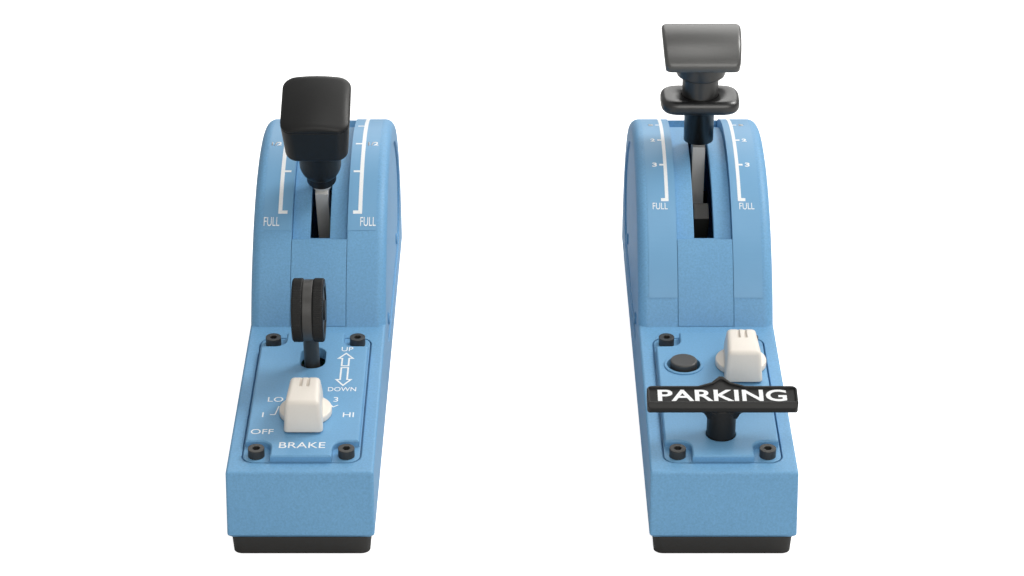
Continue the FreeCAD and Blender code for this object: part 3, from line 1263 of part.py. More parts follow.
# ------------------------------------------------------------------------------ checks and export
for thing in doc.Objects:
    if "Invalid" in thing.State or "Error" in thing.State:
        raise RuntimeError(f"{thing.Label} ({thing.Name}) failed: {thing.State}")
for label, thing in parts.items():
    if thing.Shape.isNull() or not thing.Shape.isValid() or not thing.Shape.Solids:
        raise RuntimeError(f"{label} has no valid solid")
    thing.Shape.exportStep(f"parts/{label}.step")
    print(f"{label}: {len(thing.Shape.Solids)} solid(s), {thing.Shape.Volume:.0f} mm3")
print(len(parts), "sub-parts")
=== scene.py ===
# %% [markdown]
# # A throttle quadrant: two lever modules in textured blue plastic
# The construction is already made. This lesson loads it as a fixed frame of about sixty
# solids, then gives every solid the finish that it has on the real thing, and adds what is too
# fine for a construction model: printed scales, knurling and softly worn edges.
#
# Nothing in the frame is moved. Each solid's place is in its mesh, in metres, so a new piece
# only has to be made in the same place and told which body it rides on.

# %% Load the fixed frame
from math import pi, radians

import bmesh
import bpy
from mathutils import Matrix, Vector


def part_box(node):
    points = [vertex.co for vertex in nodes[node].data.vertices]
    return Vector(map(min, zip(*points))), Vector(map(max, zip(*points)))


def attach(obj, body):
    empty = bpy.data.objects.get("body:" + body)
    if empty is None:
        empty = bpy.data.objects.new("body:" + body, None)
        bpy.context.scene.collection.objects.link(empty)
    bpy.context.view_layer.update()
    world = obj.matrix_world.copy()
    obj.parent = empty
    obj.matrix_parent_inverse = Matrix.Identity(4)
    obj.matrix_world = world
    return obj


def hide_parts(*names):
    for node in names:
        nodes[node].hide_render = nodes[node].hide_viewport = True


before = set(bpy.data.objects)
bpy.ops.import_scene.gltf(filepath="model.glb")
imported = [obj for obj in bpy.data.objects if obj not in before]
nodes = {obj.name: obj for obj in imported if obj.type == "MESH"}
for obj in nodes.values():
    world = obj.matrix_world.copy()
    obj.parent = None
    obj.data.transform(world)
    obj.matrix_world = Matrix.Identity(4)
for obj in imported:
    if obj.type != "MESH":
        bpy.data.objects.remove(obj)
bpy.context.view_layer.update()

# %% [markdown]
# ## Lengths
# Drawings of small machines are dimensioned in millimetres, and Blender's file is in metres. One
# named factor turns one into the other, so that every size below can be read as a drawing's.

# %% Millimetres, and the places that several pieces share
MM = 0.001
PITCH = 177.7                                 # between the centre planes of the two modules
CENTRE = {"left": -PITCH / 2, "right": PITCH / 2}

deck_low, deck_high = (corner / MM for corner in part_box("left_housing"))
FRONT_LEAN = 4.0                              # the front face leans back by this much
DECK_FRONT = deck_low.y + FRONT_LEAN          # where the sloping deck begins
DECK_RISE = 38.0
DECK_SLOPE = radians(4)
DOME_RADIUS = 101.6
DOME_HEIGHT = 4.8
DOME_Y = deck_high.y - DOME_RADIUS            # the axis of the round hump
PLATE_RISE = 3.2                              # top of a faceplate above the deck
PIVOT_HEIGHT = 15.0                           # of both lever axles
print(f"deck begins at y {DECK_FRONT:.1f} mm, hump axis at y {DOME_Y:.1f} mm")

# %% [markdown]
# ## Shader helpers
# A designer picks a colour on a screen, in sRGB, but light is added up in linear numbers. One
# function does that step for every colour in the file. A second one adds a shader node together
# with its settings and its links, so that a material can be read from top to bottom.

# %% Colour and node helpers
def linear(code):
    """An sRGB hex colour, such as "#7AACDA", as the linear RGBA that Blender mixes."""
    parts = [int(code[i:i + 2], 16) / 255 for i in (1, 3, 5)]
    return [p / 12.92 if p <= 0.04045 else ((p + 0.055) / 1.055) ** 2.4 for p in parts] + [1]


def add(tree, kind, settings=None, **sockets):
    """One shader node. A socket's name has _ for a space, and a node as its value is linked."""
    node = tree.nodes.new("ShaderNode" + kind)
    for name, value in (settings or {}).items():
        setattr(node, name, value)
    for name, value in sockets.items():
        socket = node.inputs[int(name[1:]) if name[1:].isdigit() else name.replace("_", " ")]
        if isinstance(value, bpy.types.NodeSocket):
            tree.links.new(value, socket)
        else:
            socket.default_value = value
    return node


def empty_material(name):
    material = bpy.data.materials.new(name)
    material.use_nodes = True
    material.node_tree.nodes.clear()
    return material, material.node_tree


def close(tree, shader):
    """Ends a material: its shader goes to the surface."""
    add(tree, "OutputMaterial", Surface=shader.outputs[0])


# %% [markdown]
# ## The light
# A studio lights small things with large soft panels, so that edges glow and nothing burns out.
# The main panel stands behind and to the right of the object: it rakes over the tops and throws
# their shadows to the left. A wide one at the back is what the level tops mirror towards the
# camera, so black plastic shines there. One more fills the fronts, and a faint one hangs
# overhead.
#
# The background is white to the camera, and through anything clear. Glossy surfaces mirror a
# dimmer grey, so that black plastic keeps its depth, and a weak even glow opens the shadows. All
# the rest is the lamps', kept at a level at which a colour renders about as it is written.

# %% World and lamps
def build_world(backdrop, mirrored, ambient):
    """Three strengths of the surroundings: as seen, as mirrored by gloss, and as light."""
    world = bpy.data.worlds.new("studio_surroundings")
    bpy.context.scene.world = world
    world.use_nodes = True
    tree = world.node_tree
    tree.nodes.clear()
    rays = add(tree, "LightPath")
    seen = add(tree, "Math", {"operation": "MAXIMUM"}, _0=rays.outputs["Is Camera Ray"],
               _1=rays.outputs["Is Transmission Ray"])
    glow = add(tree, "Background", Color=linear("#FFFFFF"), Strength=backdrop)
    shine = add(tree, "Background", Color=linear("#FFFFFF"), Strength=mirrored)
    soft = add(tree, "Background", Color=linear("#F6F4F0"), Strength=ambient)
    unseen = add(tree, "MixShader", _0=rays.outputs["Is Glossy Ray"], _1=soft.outputs[0],
                 _2=shine.outputs[0])
    mix = add(tree, "MixShader", _0=seen.outputs[0], _1=unseen.outputs[0], _2=glow.outputs[0])
    add(tree, "OutputWorld", Surface=mix.outputs[0])


def soft_panel(name, place, aim, size, power, colour):
    """A square area lamp at a place, aimed at a point: metres and watts."""
    lamp = bpy.data.lights.new(name, "AREA")
    lamp.size = size
    lamp.energy = power
    lamp.color = linear(colour)[:3]
    thing = bpy.data.objects.new(name, lamp)
    thing.location = place
    thing.rotation_euler = (Vector(aim) - Vector(place)).to_track_quat("-Z", "Y").to_euler()
    bpy.context.scene.collection.objects.link(thing)


build_world(backdrop=1.0, mirrored=0.38, ambient=0.28)
soft_panel("key_panel", (1.0, 0.45, 1.25), (0, 0, 0.05), 0.6, 15.5, "#FFFEFB")
soft_panel("back_panel", (0.3, 1.6, 1.15), (0, 0, 0.1), 1.5, 13, "#FFFEFB")
soft_panel("overhead_panel", (0.1, -0.15, 1.4), (0, 0, 0.1), 0.5, 2.5, "#FFFEFB")
soft_panel("front_fill", (0.35, -1.5, 0.9), (0, 0, 0.05), 1.2, 12.5, "#FFFDF8")

# %% [markdown]
# ## The floor and the camera
# The floor is one large sheet of white paper, so that no edge of it comes into view. Lit paper
# alone would be a pale grey, so a glow is added to it, but only as the camera sees it: the
# object's shadow stays, and no light from the glow falls on the object. The camera looks down a
# little through a long lens, which keeps the sides of the two modules nearly parallel.

# %% Floor and camera
FLOOR_HALF = 6.0                              # metres from the floor's middle to its edge
PAPER_GLOW = 0.85                             # lifts the lit paper to white for the camera


def build_floor():
    shape = bmesh.new()
    bmesh.ops.create_grid(shape, x_segments=1, y_segments=1, size=FLOOR_HALF)
    mesh = bpy.data.meshes.new("studio_floor")
    shape.to_mesh(mesh)
    shape.free()
    material, tree = empty_material("white_paper_sweep")
    rays = add(tree, "LightPath")
    paper = add(tree, "BsdfDiffuse", Color=linear("#DADADA"))
    glow = add(tree, "Emission", Color=linear("#FFFFFF"), Strength=PAPER_GLOW)
    both = add(tree, "AddShader", _0=paper.outputs[0], _1=glow.outputs[0])
    seen = add(tree, "Math", {"operation": "MAXIMUM"}, _0=rays.outputs["Is Camera Ray"],
               _1=rays.outputs["Is Transmission Ray"])
    close(tree, add(tree, "MixShader", _0=seen.outputs[0], _1=paper.outputs[0],
                    _2=both.outputs[0]))
    mesh.materials.append(material)
    floor = bpy.data.objects.new("studio_floor", mesh)
    bpy.context.scene.collection.objects.link(floor)


LENS, SENSOR_WIDTH = 96.86, 36                # millimetres: a long lens on a full frame
CAMERA_PLACE = (0, -1.1759, 0.5801)           # metres: on the centre line, in front and above
LOOKS_DOWN = 24.197                           # degrees below the horizon


def build_camera():
    lens = bpy.data.cameras.new("catalogue_camera")
    lens.lens = LENS
    lens.sensor_width = SENSOR_WIDTH
    camera = bpy.data.objects.new("catalogue_camera", lens)
    camera.location = CAMERA_PLACE
    camera.rotation_euler = (radians(90 - LOOKS_DOWN), 0, 0)
    bpy.context.scene.collection.objects.link(camera)
    bpy.context.scene.camera = camera


build_floor()
build_camera()
bpy.context.scene.view_settings.view_transform = "Standard"
print("studio: one sheet of paper and one camera")

# %% [markdown]
# ## Moulded plastics
# Nearly everything that a hand touches here is injection-moulded ABS. The shells come from a
# spark-eroded tool, which leaves a fine even grain: it scatters highlights, so the plastic looks
# satin, and a raking light picks out its small bumps. The grain of the real tool is finer than
# half a millimetre. It is drawn a little coarser, because it would vanish otherwise.
#
# One function makes every plastic from its colour, its grain size and how deep and dull the
# grain is. A slow, faint change of tone keeps large faces from looking like flat paint. No
# moulded corner is truly sharp, because the tool has a small radius everywhere. The Bevel
# shader node bends the light at a corner as such a radius does, with no change to the mesh.

# %% Moulded plastic
CLOUD = 38.0                                  # size of the slow change of tone, in millimetres


def moulded(name, colour, worn, grain, depth, dull, gloss=0.5, fleck=0.06, soft=0.7):
    """A satin plastic. worn is the paler tone of rubbed skin, grain and depth measure its
    texture, soft is the radius that its corners seem to have, all three in millimetres, and
    dull is its roughness."""
    material, tree = empty_material(name)
    place = add(tree, "TexCoord").outputs["Object"]
    speckle = add(tree, "TexNoise", Vector=place, Scale=1 / (grain * MM), Detail=2.0,
                  Roughness=0.6)
    clouds = add(tree, "TexNoise", Vector=place, Scale=1 / (CLOUD * MM), Detail=3.0)
    amount = add(tree, "MapRange", Value=clouds.outputs["Fac"], From_Min=0.35, From_Max=0.75,
                 To_Min=0.0, To_Max=0.35)
    tone = add(tree, "Mix", {"data_type": "RGBA"}, Factor=amount.outputs[0], _6=linear(colour),
               _7=linear(worn))
    flecks = add(tree, "MapRange", Value=speckle.outputs["Fac"], From_Min=0.3, From_Max=0.7,
                 To_Min=1 - fleck, To_Max=1 + fleck)
    shade = add(tree, "HueSaturation", Value=flecks.outputs[0], Color=tone.outputs[2])
    rough = add(tree, "MapRange", Value=speckle.outputs["Fac"], To_Min=dull - 0.08,
                To_Max=dull + 0.08)
    corners = add(tree, "Bevel", {"samples": 6}, Radius=soft * MM)
    bumps = add(tree, "Bump", Strength=0.5, Distance=depth * MM,
                Height=speckle.outputs["Fac"], Normal=corners.outputs[0])
    skin = add(tree, "BsdfPrincipled", Base_Color=shade.outputs[0], Roughness=rough.outputs[0],
               IOR=1.52, Specular_IOR_Level=gloss, Normal=bumps.outputs[0])
    close(tree, skin)
    return material


textured_blue_abs = moulded("textured_blue_abs", "#70A5CF", "#7AAFD6", 0.9, 0.13, 0.48,
                            gloss=0.3, fleck=0.09)
satin_blue_abs = moulded("satin_blue_abs", "#70A5CF", "#7AAFD6", 0.7, 0.07, 0.45, gloss=0.3)
black_base_abs = moulded("black_base_abs", "#262524", "#2E2D2C", 1.1, 0.10, 0.55)
satin_black_abs = moulded("satin_black_abs", "#1C1C1C", "#212121", 0.8, 0.05, 0.42, gloss=0.28)
polished_black_abs = moulded("polished_black_abs", "#1E1E1E", "#232323", 1.2, 0.012, 0.33,
                             gloss=0.8)
grey_nylon = moulded("grey_nylon", "#403F3E", "#474645", 0.8, 0.05, 0.40)
silver_grey_nylon = moulded("silver_grey_nylon", "#454544", "#4C4C4B", 0.8, 0.02, 0.36,
                            gloss=0.9)
warm_white_abs = moulded("warm_white_abs", "#E9E2D9", "#EBE5DD", 0.9, 0.02, 0.38, fleck=0.01)
black_acetal = moulded("black_acetal", "#161617", "#1D1D1E", 1.2, 0.03, 0.34)
print("plastics: nine")

# %% [markdown]
# ## Rubber, steel and bronze
# The feet are moulded rubber: black, dull and faintly dusty. The lever blades are sawn from
# steel bar, and the saw marks run along the blade, so the fine lines are stretched in that
# direction. A phosphate bath then turns the steel matt grey, with nothing of a mirror left.
# Screws are blackened by a hot salt bath, which leaves a thin dark oxide. The pivot bushes are
# sintered bronze, pressed from powder, so they look speckled and never mirror.

# %% Rubber and metals
DUST = 1.5                                    # spacing of the dust, in millimetres
METAL_EDGE = 0.4                              # radius of a deburred edge, in millimetres


def rubber(name):
    material, tree = empty_material(name)
    place = add(tree, "TexCoord").outputs["Object"]
    dust = add(tree, "TexNoise", Vector=place, Scale=1 / (DUST * MM), Detail=4.0)
    tone = add(tree, "Mix", {"data_type": "RGBA"}, Factor=dust.outputs["Fac"],
               _6=linear("#1B1B1B"), _7=linear("#2A2A2A"))
    bumps = add(tree, "Bump", Strength=0.3, Distance=0.05 * MM, Height=dust.outputs["Fac"])
    close(tree, add(tree, "BsdfPrincipled", Base_Color=tone.outputs[2], Roughness=0.8,
                    IOR=1.52, Normal=bumps.outputs[0]))
    return material


def metal(name, dark, bright, line, stretch, dull, depth=0.02, bare=1.0):
    """A metal. line is the width of its marks, stretch their length factor, and bare is 1 for
    clean metal or less under a coat."""
    material, tree = empty_material(name)
    place = add(tree, "TexCoord").outputs["Object"]
    along = add(tree, "Mapping", Vector=place, Scale=(1, 1, 1 / stretch))
    marks = add(tree, "TexNoise", Vector=along.outputs[0], Scale=1 / (line * MM), Detail=3.0)
    tone = add(tree, "Mix", {"data_type": "RGBA"}, Factor=marks.outputs["Fac"],
               _6=linear(dark), _7=linear(bright))
    rough = add(tree, "MapRange", Value=marks.outputs["Fac"], To_Min=dull - 0.08,
                To_Max=dull + 0.08)
    corners = add(tree, "Bevel", {"samples": 6}, Radius=METAL_EDGE * MM)
    bumps = add(tree, "Bump", Strength=0.3, Distance=depth * MM, Height=marks.outputs["Fac"],
                Normal=corners.outputs[0])
    close(tree, add(tree, "BsdfPrincipled", Base_Color=tone.outputs[2], Metallic=bare,
                    Roughness=rough.outputs[0], Normal=bumps.outputs[0]))
    return material


moulded_rubber = rubber("moulded_rubber")
phosphated_steel = metal("phosphated_steel", "#C2C2C1", "#D2D2D1", 0.35, 22, 0.6, bare=0.0)
turned_steel = metal("turned_steel", "#8A8B8D", "#B4B5B7", 0.5, 1, 0.25)
blackened_steel = metal("blackened_steel", "#3A3937", "#464543", 0.8, 1, 0.42, bare=0.3)
sintered_bronze = metal("sintered_bronze", "#8A6B3C", "#B5925A", 0.4, 1, 0.45)
print("metals and rubber: five")

# %% [markdown]
# ## Circuit boards
# The boards are hidden, but they show when a cover is off. Solder mask is a glossy green lacquer
# over copper tracks, so the tracks show as slightly paler bands in it.

# %% Solder mask
TRACK = 4.0                                   # millimetres: a row of tracks is a quarter of it


def solder_mask(name):
    material, tree = empty_material(name)
    place = add(tree, "TexCoord").outputs["Object"]
    tracks = add(tree, "TexBrick", {"offset": 0.5}, Vector=place, Scale=1 / (TRACK * MM),
                 Mortar_Size=0.06, Color1=linear("#0F5A34"), Color2=linear("#0C5230"),
                 Mortar=linear("#2C7D50"))
    close(tree, add(tree, "BsdfPrincipled", Base_Color=tracks.outputs["Color"], Roughness=0.25,
                    IOR=1.5))
    return material


green_solder_mask = solder_mask("green_solder_mask")
print("solder mask: one")

# %% [markdown]
# ## Give each solid its finish
# A solid's place and mesh stay as they are. Only the material in its slot is exchanged, and one
# table says which finish goes where. A name that is missing from the table stops the script.

# %% Dress the solids
FINISHES = {
    textured_blue_abs: ["left_housing", "right_housing", "left_quadrant_insert",
                        "right_quadrant_insert", "left_outer_cover", "left_inner_cover",
                        "right_outer_cover", "right_inner_cover", "cover_screws"],
    satin_blue_abs: ["left_faceplate", "right_faceplate", "button_bezel"],
    black_base_abs: ["left_base_tray", "right_base_tray", "axle_pedestals"],
    satin_black_abs: ["speed_brake_knob", "speed_brake_knob_cap", "speed_brake_collar",
                      "park_handle", "gear_wheel_tyres", "gear_wheel_caps"],
    polished_black_abs: ["flaps_collar", "flaps_lift_plate"],
    grey_nylon: ["gear_wheel_hub", "push_button"],
    silver_grey_nylon: ["flaps_knob"],
    warm_white_abs: ["selector_knob", "trim_knob"],
    black_acetal: ["selector_switch", "trim_potentiometer", "button_switch", "gear_switch",
                   "park_guide", "park_slider", "left_link_socket", "right_link_socket"],
    moulded_rubber: ["rubber_feet"],
    phosphated_steel: ["speed_brake_blade", "flaps_blade"],
    turned_steel: ["speed_brake_axle", "flaps_axle", "speed_brake_washers", "flaps_washers",
                   "speed_brake_magnet", "flaps_magnet", "gear_pivot_pin", "selector_shaft",
                   "trim_shaft"],
    blackened_steel: ["faceplate_screws", "base_screws", "flaps_detent_arm",
                      "gear_lever_stem", "gear_bracket", "park_clip"],
    sintered_bronze: ["pivot_bushes"],
    green_solder_mask: ["left_sensor_board", "right_sensor_board", "left_main_board",
                        "right_main_board"],
}
dressed = 0
for finish, names in FINISHES.items():
    for name in names:
        for slot in nodes[name].material_slots:
            slot.material = finish
        dressed += 1
assert dressed == len(nodes), set(nodes) - set(sum(FINISHES.values(), []))
print("dressed:", dressed, "solids")

# %% [markdown]
# ## Helpers for the added pieces
# Each added piece is built in a bmesh, Blender's editable mesh, with the same operators that the
# editor's menus call. One function turns the finished bmesh into an object that rides on a body.

# %% Piece helpers
def verts_in(geometry):
    """The corners among what an operator returns."""
    return [part for part in geometry if isinstance(part, bmesh.types.BMVert)]


def box_around(points):
    """The lowest and the highest corner of the box around some points."""
    return [Vector([pick(p[i] for p in points) for i in range(3)]) for pick in (min, max)]


def add_piece(name, shape, body, material, crease=None):
    """A finished piece. Edges sharper than crease, in degrees, stay crisp and the rest smooth."""
    mesh = bpy.data.meshes.new(name)
    shape.to_mesh(mesh)
    shape.free()
    if crease is not None:
        mesh.shade_smooth()
        mesh.set_sharp_from_angle(angle=radians(crease))
    mesh.materials.append(material)
    thing = bpy.data.objects.new(name, mesh)
    bpy.context.scene.collection.objects.link(thing)
    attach(thing, body)
    print(f"{name}: {len(mesh.polygons)} faces on {body}")
    return thing


def on_deck(side, lift=0.0):
    """The flat frame of a module's sloping deck: x across, y away from the user, z up."""
    origin = Vector((CENTRE[side], DECK_FRONT, DECK_RISE)) * MM
    return (Matrix.Translation(origin) @ Matrix.Rotation(DECK_SLOPE, 4, "X")
            @ Matrix.Translation((0, 0, lift * MM)))


def on_hump(side, degrees, lift=0.0):
    """A flat frame that touches the hump, that many degrees towards the user from its crown."""
    axis = Vector((CENTRE[side], DOME_Y, DOME_HEIGHT)) * MM
    return (Matrix.Translation(axis) @ Matrix.Rotation(radians(degrees), 4, "X")
            @ Matrix.Translation((0, 0, (DOME_RADIUS + lift) * MM)))


# %% [markdown]
# ## Printed scales
# The markings are screen printed: white ink a few hundredths of a millimetre thick, with clean
# edges. A print could be an image on the surface, but then it would blur up close. Here it is
# real geometry: letters from the built-in font, and strokes as thin closed plates that stand
# just proud of the plastic. On the hump, a stroke is a small face spun about the hump's axis.

# %% Ink, letters and strokes
INK = 0.06                                    # thickness of the print
CLEAR = 0.03                                  # the print starts this far above the plastic
MESH_MARKS = 0.6                              # marks of the printing screen, drawn coarse to show
ARC_STEP = 1.5                                # degrees between the corners of a curved stroke


def printed_ink(name, colour):
    material, tree = empty_material(name)
    place = add(tree, "TexCoord").outputs["Object"]
    screen = add(tree, "TexNoise", Vector=place, Scale=1 / (MESH_MARKS * MM), Detail=2.0)
    tone = add(tree, "Mix", {"data_type": "RGBA"}, Factor=screen.outputs["Fac"],
               _6=linear(colour), _7=linear("#FFFFFF"))
    close(tree, add(tree, "BsdfPrincipled", Base_Color=tone.outputs[2], Roughness=0.45,
                    IOR=1.5))
    return material


white_ink = printed_ink("white_screen_ink", "#E6ECF1")
print("ink: one white")


def write(sheet, letters, centre, height, frame_matrix, width=None, weight=0.0):
    """Adds letters of a given height about a centre, in millimetres. A width stretches them,
    and a weight makes their strokes bolder."""
    curve = bpy.data.curves.new("letters", "FONT")
    curve.body = letters
    curve.offset = weight
    curve.extrude = 0.5                       # any depth: the fit below makes it the ink's
    writing = bpy.data.objects.new("letters", curve)
    bpy.context.scene.collection.objects.link(writing)
    mesh = bpy.data.meshes.new_from_object(writing)
    bpy.data.objects.remove(writing)
    low, high = box_around([v.co for v in mesh.vertices])
    tall = height / (high.y - low.y)
    wide = tall if width is None else width / (high.x - low.x)
    middle = Vector((centre[0], centre[1], CLEAR + INK / 2)) * MM
    fit = (Matrix.Translation(middle) @ Matrix.Diagonal((wide * MM, tall * MM, INK * MM, 1))
           @ Matrix.Translation(-(low + high) / 2))
    mesh.transform(frame_matrix @ fit)
    sheet.from_mesh(mesh)
    bpy.data.meshes.remove(mesh)


def stroke(sheet, start, end, width, frame_matrix):
    """Adds a straight printed line from start to end, given in millimetres on a flat frame."""
    start, end = Vector(start), Vector(end)
    run = end - start
    corners = bmesh.ops.create_cube(sheet, size=1)["verts"]
    turn = Matrix.Rotation(run.to_2d().angle_signed(Vector((1, 0))), 4, "Z")
    size = Matrix.Diagonal((run.length * MM, width * MM, INK * MM, 1))
    middle = ((start + end) / 2 * MM).to_3d()
    middle.z = (CLEAR + INK / 2) * MM
    bmesh.ops.transform(sheet, verts=corners,
                        matrix=frame_matrix @ Matrix.Translation(middle) @ turn @ size)


def arc_stroke(sheet, side, left, right, top, bottom, thick=INK):
    """Adds a printed band that follows the hump, between two angles from its crown."""
    axis = Vector((CENTRE[side], DOME_Y, DOME_HEIGHT)) * MM
    start = on_hump(side, top, CLEAR)
    ends = [sheet.verts.new(start @ Vector((x * MM, 0, up * MM)))
            for x, up in ((left, 0), (right, 0), (right, thick), (left, thick))]
    face = sheet.faces.new(ends)
    turn = radians(bottom - top)
    bmesh.ops.spin(sheet, geom=[face], cent=axis, axis=(1, 0, 0), angle=turn,
                   steps=max(2, round((bottom - top) / ARC_STEP)), use_merge=False)
    open_rim = [e for e in sheet.edges if e.is_boundary]
    bmesh.ops.holes_fill(sheet, edges=open_rim, sides=4)


# %% [markdown]
# ### The scale beside each slot
# Each hump carries a pair of white rails, one each side of its slot, with a tick where the lever
# clicks or changes function. The rails lie on a clear film label, whose edge just shows.

# %% Scales of both humps
FILM = (12.9, 26.0)                           # the label's edges, from the middle of the slot
FILM_TOP = -19.0                              # its upper end, in degrees from the crown
FILM_FOOT = {"left": 39.6, "right": 58.0}     # its lower end
TICK_HALF = 0.35                              # half the thickness of a tick, in degrees
BRACKET_HALF = 0.5                            # and of the rail's foot


def mirrored(low, high, hand):
    """The same span on the left (-1) or right (+1) of the slot, lower number first."""
    return tuple(sorted((low * hand, high * hand)))


def build_scales(side, rail, foot, ticks, bracket, full, number):
    """rail and bracket are spans across, foot is the rail's lower end, and each tick has its
    angle, its span, its number and how far out the number stands. full is the place, angle,
    width and height of the word below, and number is the width and height of a number."""
    sheet = bmesh.new()
    for hand in (-1, 1):
        arc_stroke(sheet, side, *mirrored(*rail, hand), FILM_TOP, foot)
        arc_stroke(sheet, side, *mirrored(*bracket, hand), foot - BRACKET_HALF,
                   foot + BRACKET_HALF)
        for angle, span, text, text_out in ticks:
            arc_stroke(sheet, side, *mirrored(*span, hand), angle - TICK_HALF,
                       angle + TICK_HALF)
            if text:
                write(sheet, text, (text_out * hand, 0), number[1], on_hump(side, angle),
                      width=number[0], weight=0.03)
        write(sheet, "FULL", (full[0] * hand, 0), full[3], on_hump(side, full[1]),
              width=full[2])
    bmesh.ops.recalc_face_normals(sheet, faces=sheet.faces)
    add_piece(side + "_scale_print", sheet, "root", white_ink)


build_scales("left", rail=(17.6, 19.4), foot=34.1, bracket=(15.2, 19.4),
             ticks=((-5.8, (14.6, 18.0), "", None), (7.1, (14.6, 18.0), "1/2", 22.9),
                    (19.9, (14.6, 18.0), "", None)),
             full=(22.3, 37.0, 7.2, 4.8), number=(4.9, 3.5))
build_scales("right", rail=(16.1, 17.7), foot=30.1, bracket=(16.1, 19.6),
             ticks=((-6.9, (17.0, 19.6), "1", 21.8),
                    (5.0, (17.0, 19.6), "2", 21.8),
                    (17.2, (17.0, 19.6), "3", 21.8)),
             full=(20.1, 32.2, 6.9, 3.7), number=(2.2, 3.0))

# %% [markdown]
# ### The legends of the left faceplate
# Two outlined arrows show which way the landing-gear lever goes, and short words and numbers
# stand round the selector, some with a leader line to their click position. An outlined arrow
# starts as one seven-sided face. Inset pulls its rim inwards, and only the rim is kept. A face
# made by hand has no normal yet, and inset needs one to know which way is inwards.

# %% Left faceplate legends
def outlined_arrow(sheet, x, tip, wings, tail, wing_half, shaft_half, line, frame_matrix):
    """Adds an arrow outline that points from tail to tip along y, in millimetres."""
    before = set(sheet.faces)
    corners = [(x, tip), (x + wing_half, wings), (x + shaft_half, wings), (x + shaft_half, tail),
               (x - shaft_half, tail), (x - shaft_half, wings), (x - wing_half, wings)]
    ring = [sheet.verts.new(Vector((a, b, 0)) * MM) for a, b in corners]
    face = sheet.faces.new(ring)
    face.normal_update()
    bmesh.ops.inset_region(sheet, faces=[face], thickness=line * MM, use_boundary=True,
                           use_even_offset=True)
    bmesh.ops.delete(sheet, geom=[face], context="FACES_ONLY")
    rim = [f for f in sheet.faces if f not in before]
    raised = bmesh.ops.extrude_face_region(sheet, geom=rim, use_keep_orig=True)["geom"]
    bmesh.ops.translate(sheet, verts=verts_in(raised), vec=(0, 0, INK * MM))
    verts = list({v for f in sheet.faces if f not in before for v in f.verts})
    bmesh.ops.translate(sheet, verts=verts, vec=(0, 0, CLEAR * MM))
    bmesh.ops.transform(sheet, verts=verts, matrix=frame_matrix)


ARROWS = 14.7                                 # both stand this far right of the middle
ARROW = (3.9, 1.9, 0.75)                      # half the wings, half the shaft, the outline
LEADER = 0.55                                 # width of a leader line


def build_left_legends():
    sheet = bmesh.new()
    plate = on_deck("left", PLATE_RISE)
    outlined_arrow(sheet, ARROWS, 95.6, 90.1, 83.4, *ARROW, plate)
    outlined_arrow(sheet, ARROWS, 65.8, 72.0, 82.5, *ARROW, plate)
    words = (("UP", 15.0, 98.8, 3.7, 5.2), ("DOWN", 14.5, 63.2, 3.5, 12.3),
             ("3", 12.3, 54.4, 3.9, None), ("HI", 18.4, 41.4, 3.9, None),
             ("LO", -13.9, 54.4, 3.9, None), ("1", -18.4, 41.4, 3.9, None),
             ("OFF", -17.6, 27.4, 4.0, None), ("BRAKE", 0.2, 16.4, 4.6, 19.5))
    for letters, x, y, height, width in words:
        write(sheet, letters, (x, y), height, plate, width)
    for points in (((9.0, 52.1), (11.4, 47.9), (13.5, 49.6)),
                   ((-15.4, 41.5), (-13.2, 41.5), (-12.0, 48.7))):
        for start, end in zip(points, points[1:]):
            stroke(sheet, start, end, LEADER, plate)
    bmesh.ops.recalc_face_normals(sheet, faces=sheet.faces)
    add_piece("left_plate_print", sheet, "root", white_ink)


build_left_legends()

# %% [markdown]
# ### The word on the parking-brake handle
# The handle's bold white word is printed on the flat face that looks at the user. That face is
# found in the handle's own mesh: flat patches are gathered by the way they face and how deep
# they lie, and of those that look at the user, it is the one with the most area.

# %% Parking-brake word
FACES_USER = Vector((0, -0.9, 0.43))
WORD_DROP = 2.5                               # the word stands below the middle of the face
WORD_WIDTH, WORD_HEIGHT = 54.5, 7.1


def widest_flat(node, towards):
    """Centre of the box of a solid's largest flat patch that faces that way, and its normal."""
    mesh = nodes[node].data
    patches = {}
    for face in mesh.polygons:
        if face.normal.dot(towards) > 0.6:
            depth = round(face.normal.dot(face.center) / (0.05 * MM))
            key = (tuple(round(n, 2) for n in face.normal), depth)
            patches.setdefault(key, []).append(face)
    faces = max(patches.values(), key=lambda group: sum(f.area for f in group))
    low, high = box_around([mesh.vertices[i].co for f in faces for i in f.vertices])
    return (low + high) / 2, faces[0].normal.copy()


def build_park_word():
    centre, normal = widest_flat("park_handle", FACES_USER)
    print("handle face at", [round(c / MM, 1) for c in centre], "mm")
    lean = normal.to_track_quat("Z", "Y").to_matrix().to_4x4()
    sheet = bmesh.new()
    write(sheet, "PARKING", (0, -WORD_DROP), WORD_HEIGHT, Matrix.Translation(centre) @ lean,
          width=WORD_WIDTH, weight=0.02)
    add_piece("park_word_print", sheet, "park_pull", white_ink)


build_park_word()

# %% [markdown]
# ## Knobs that a hand has to like
# The grips are the roundest pieces, so shading alone can't do it: their outline is round too.
# Each starts as a block, which is bevelled wide, and tapered where its mould needs that. A bevel
# with a few segments and a profile of 0.5 is a quarter circle, just as a ball-nosed cutter
# leaves it.

# %% Blocks and rolled edges
def block(profile, half_width):
    """A bmesh of a block across x, from a side profile of (y, z) points in millimetres."""
    shape = bmesh.new()
    ring = [shape.verts.new(Vector((-half_width, y, z)) * MM) for y, z in profile]
    side = shape.faces.new(ring)
    made = bmesh.ops.extrude_face_region(shape, geom=[side], use_keep_orig=True)["geom"]
    bmesh.ops.translate(shape, verts=verts_in(made), vec=(2 * half_width * MM, 0, 0))
    bmesh.ops.recalc_face_normals(shape, faces=shape.faces)
    return shape


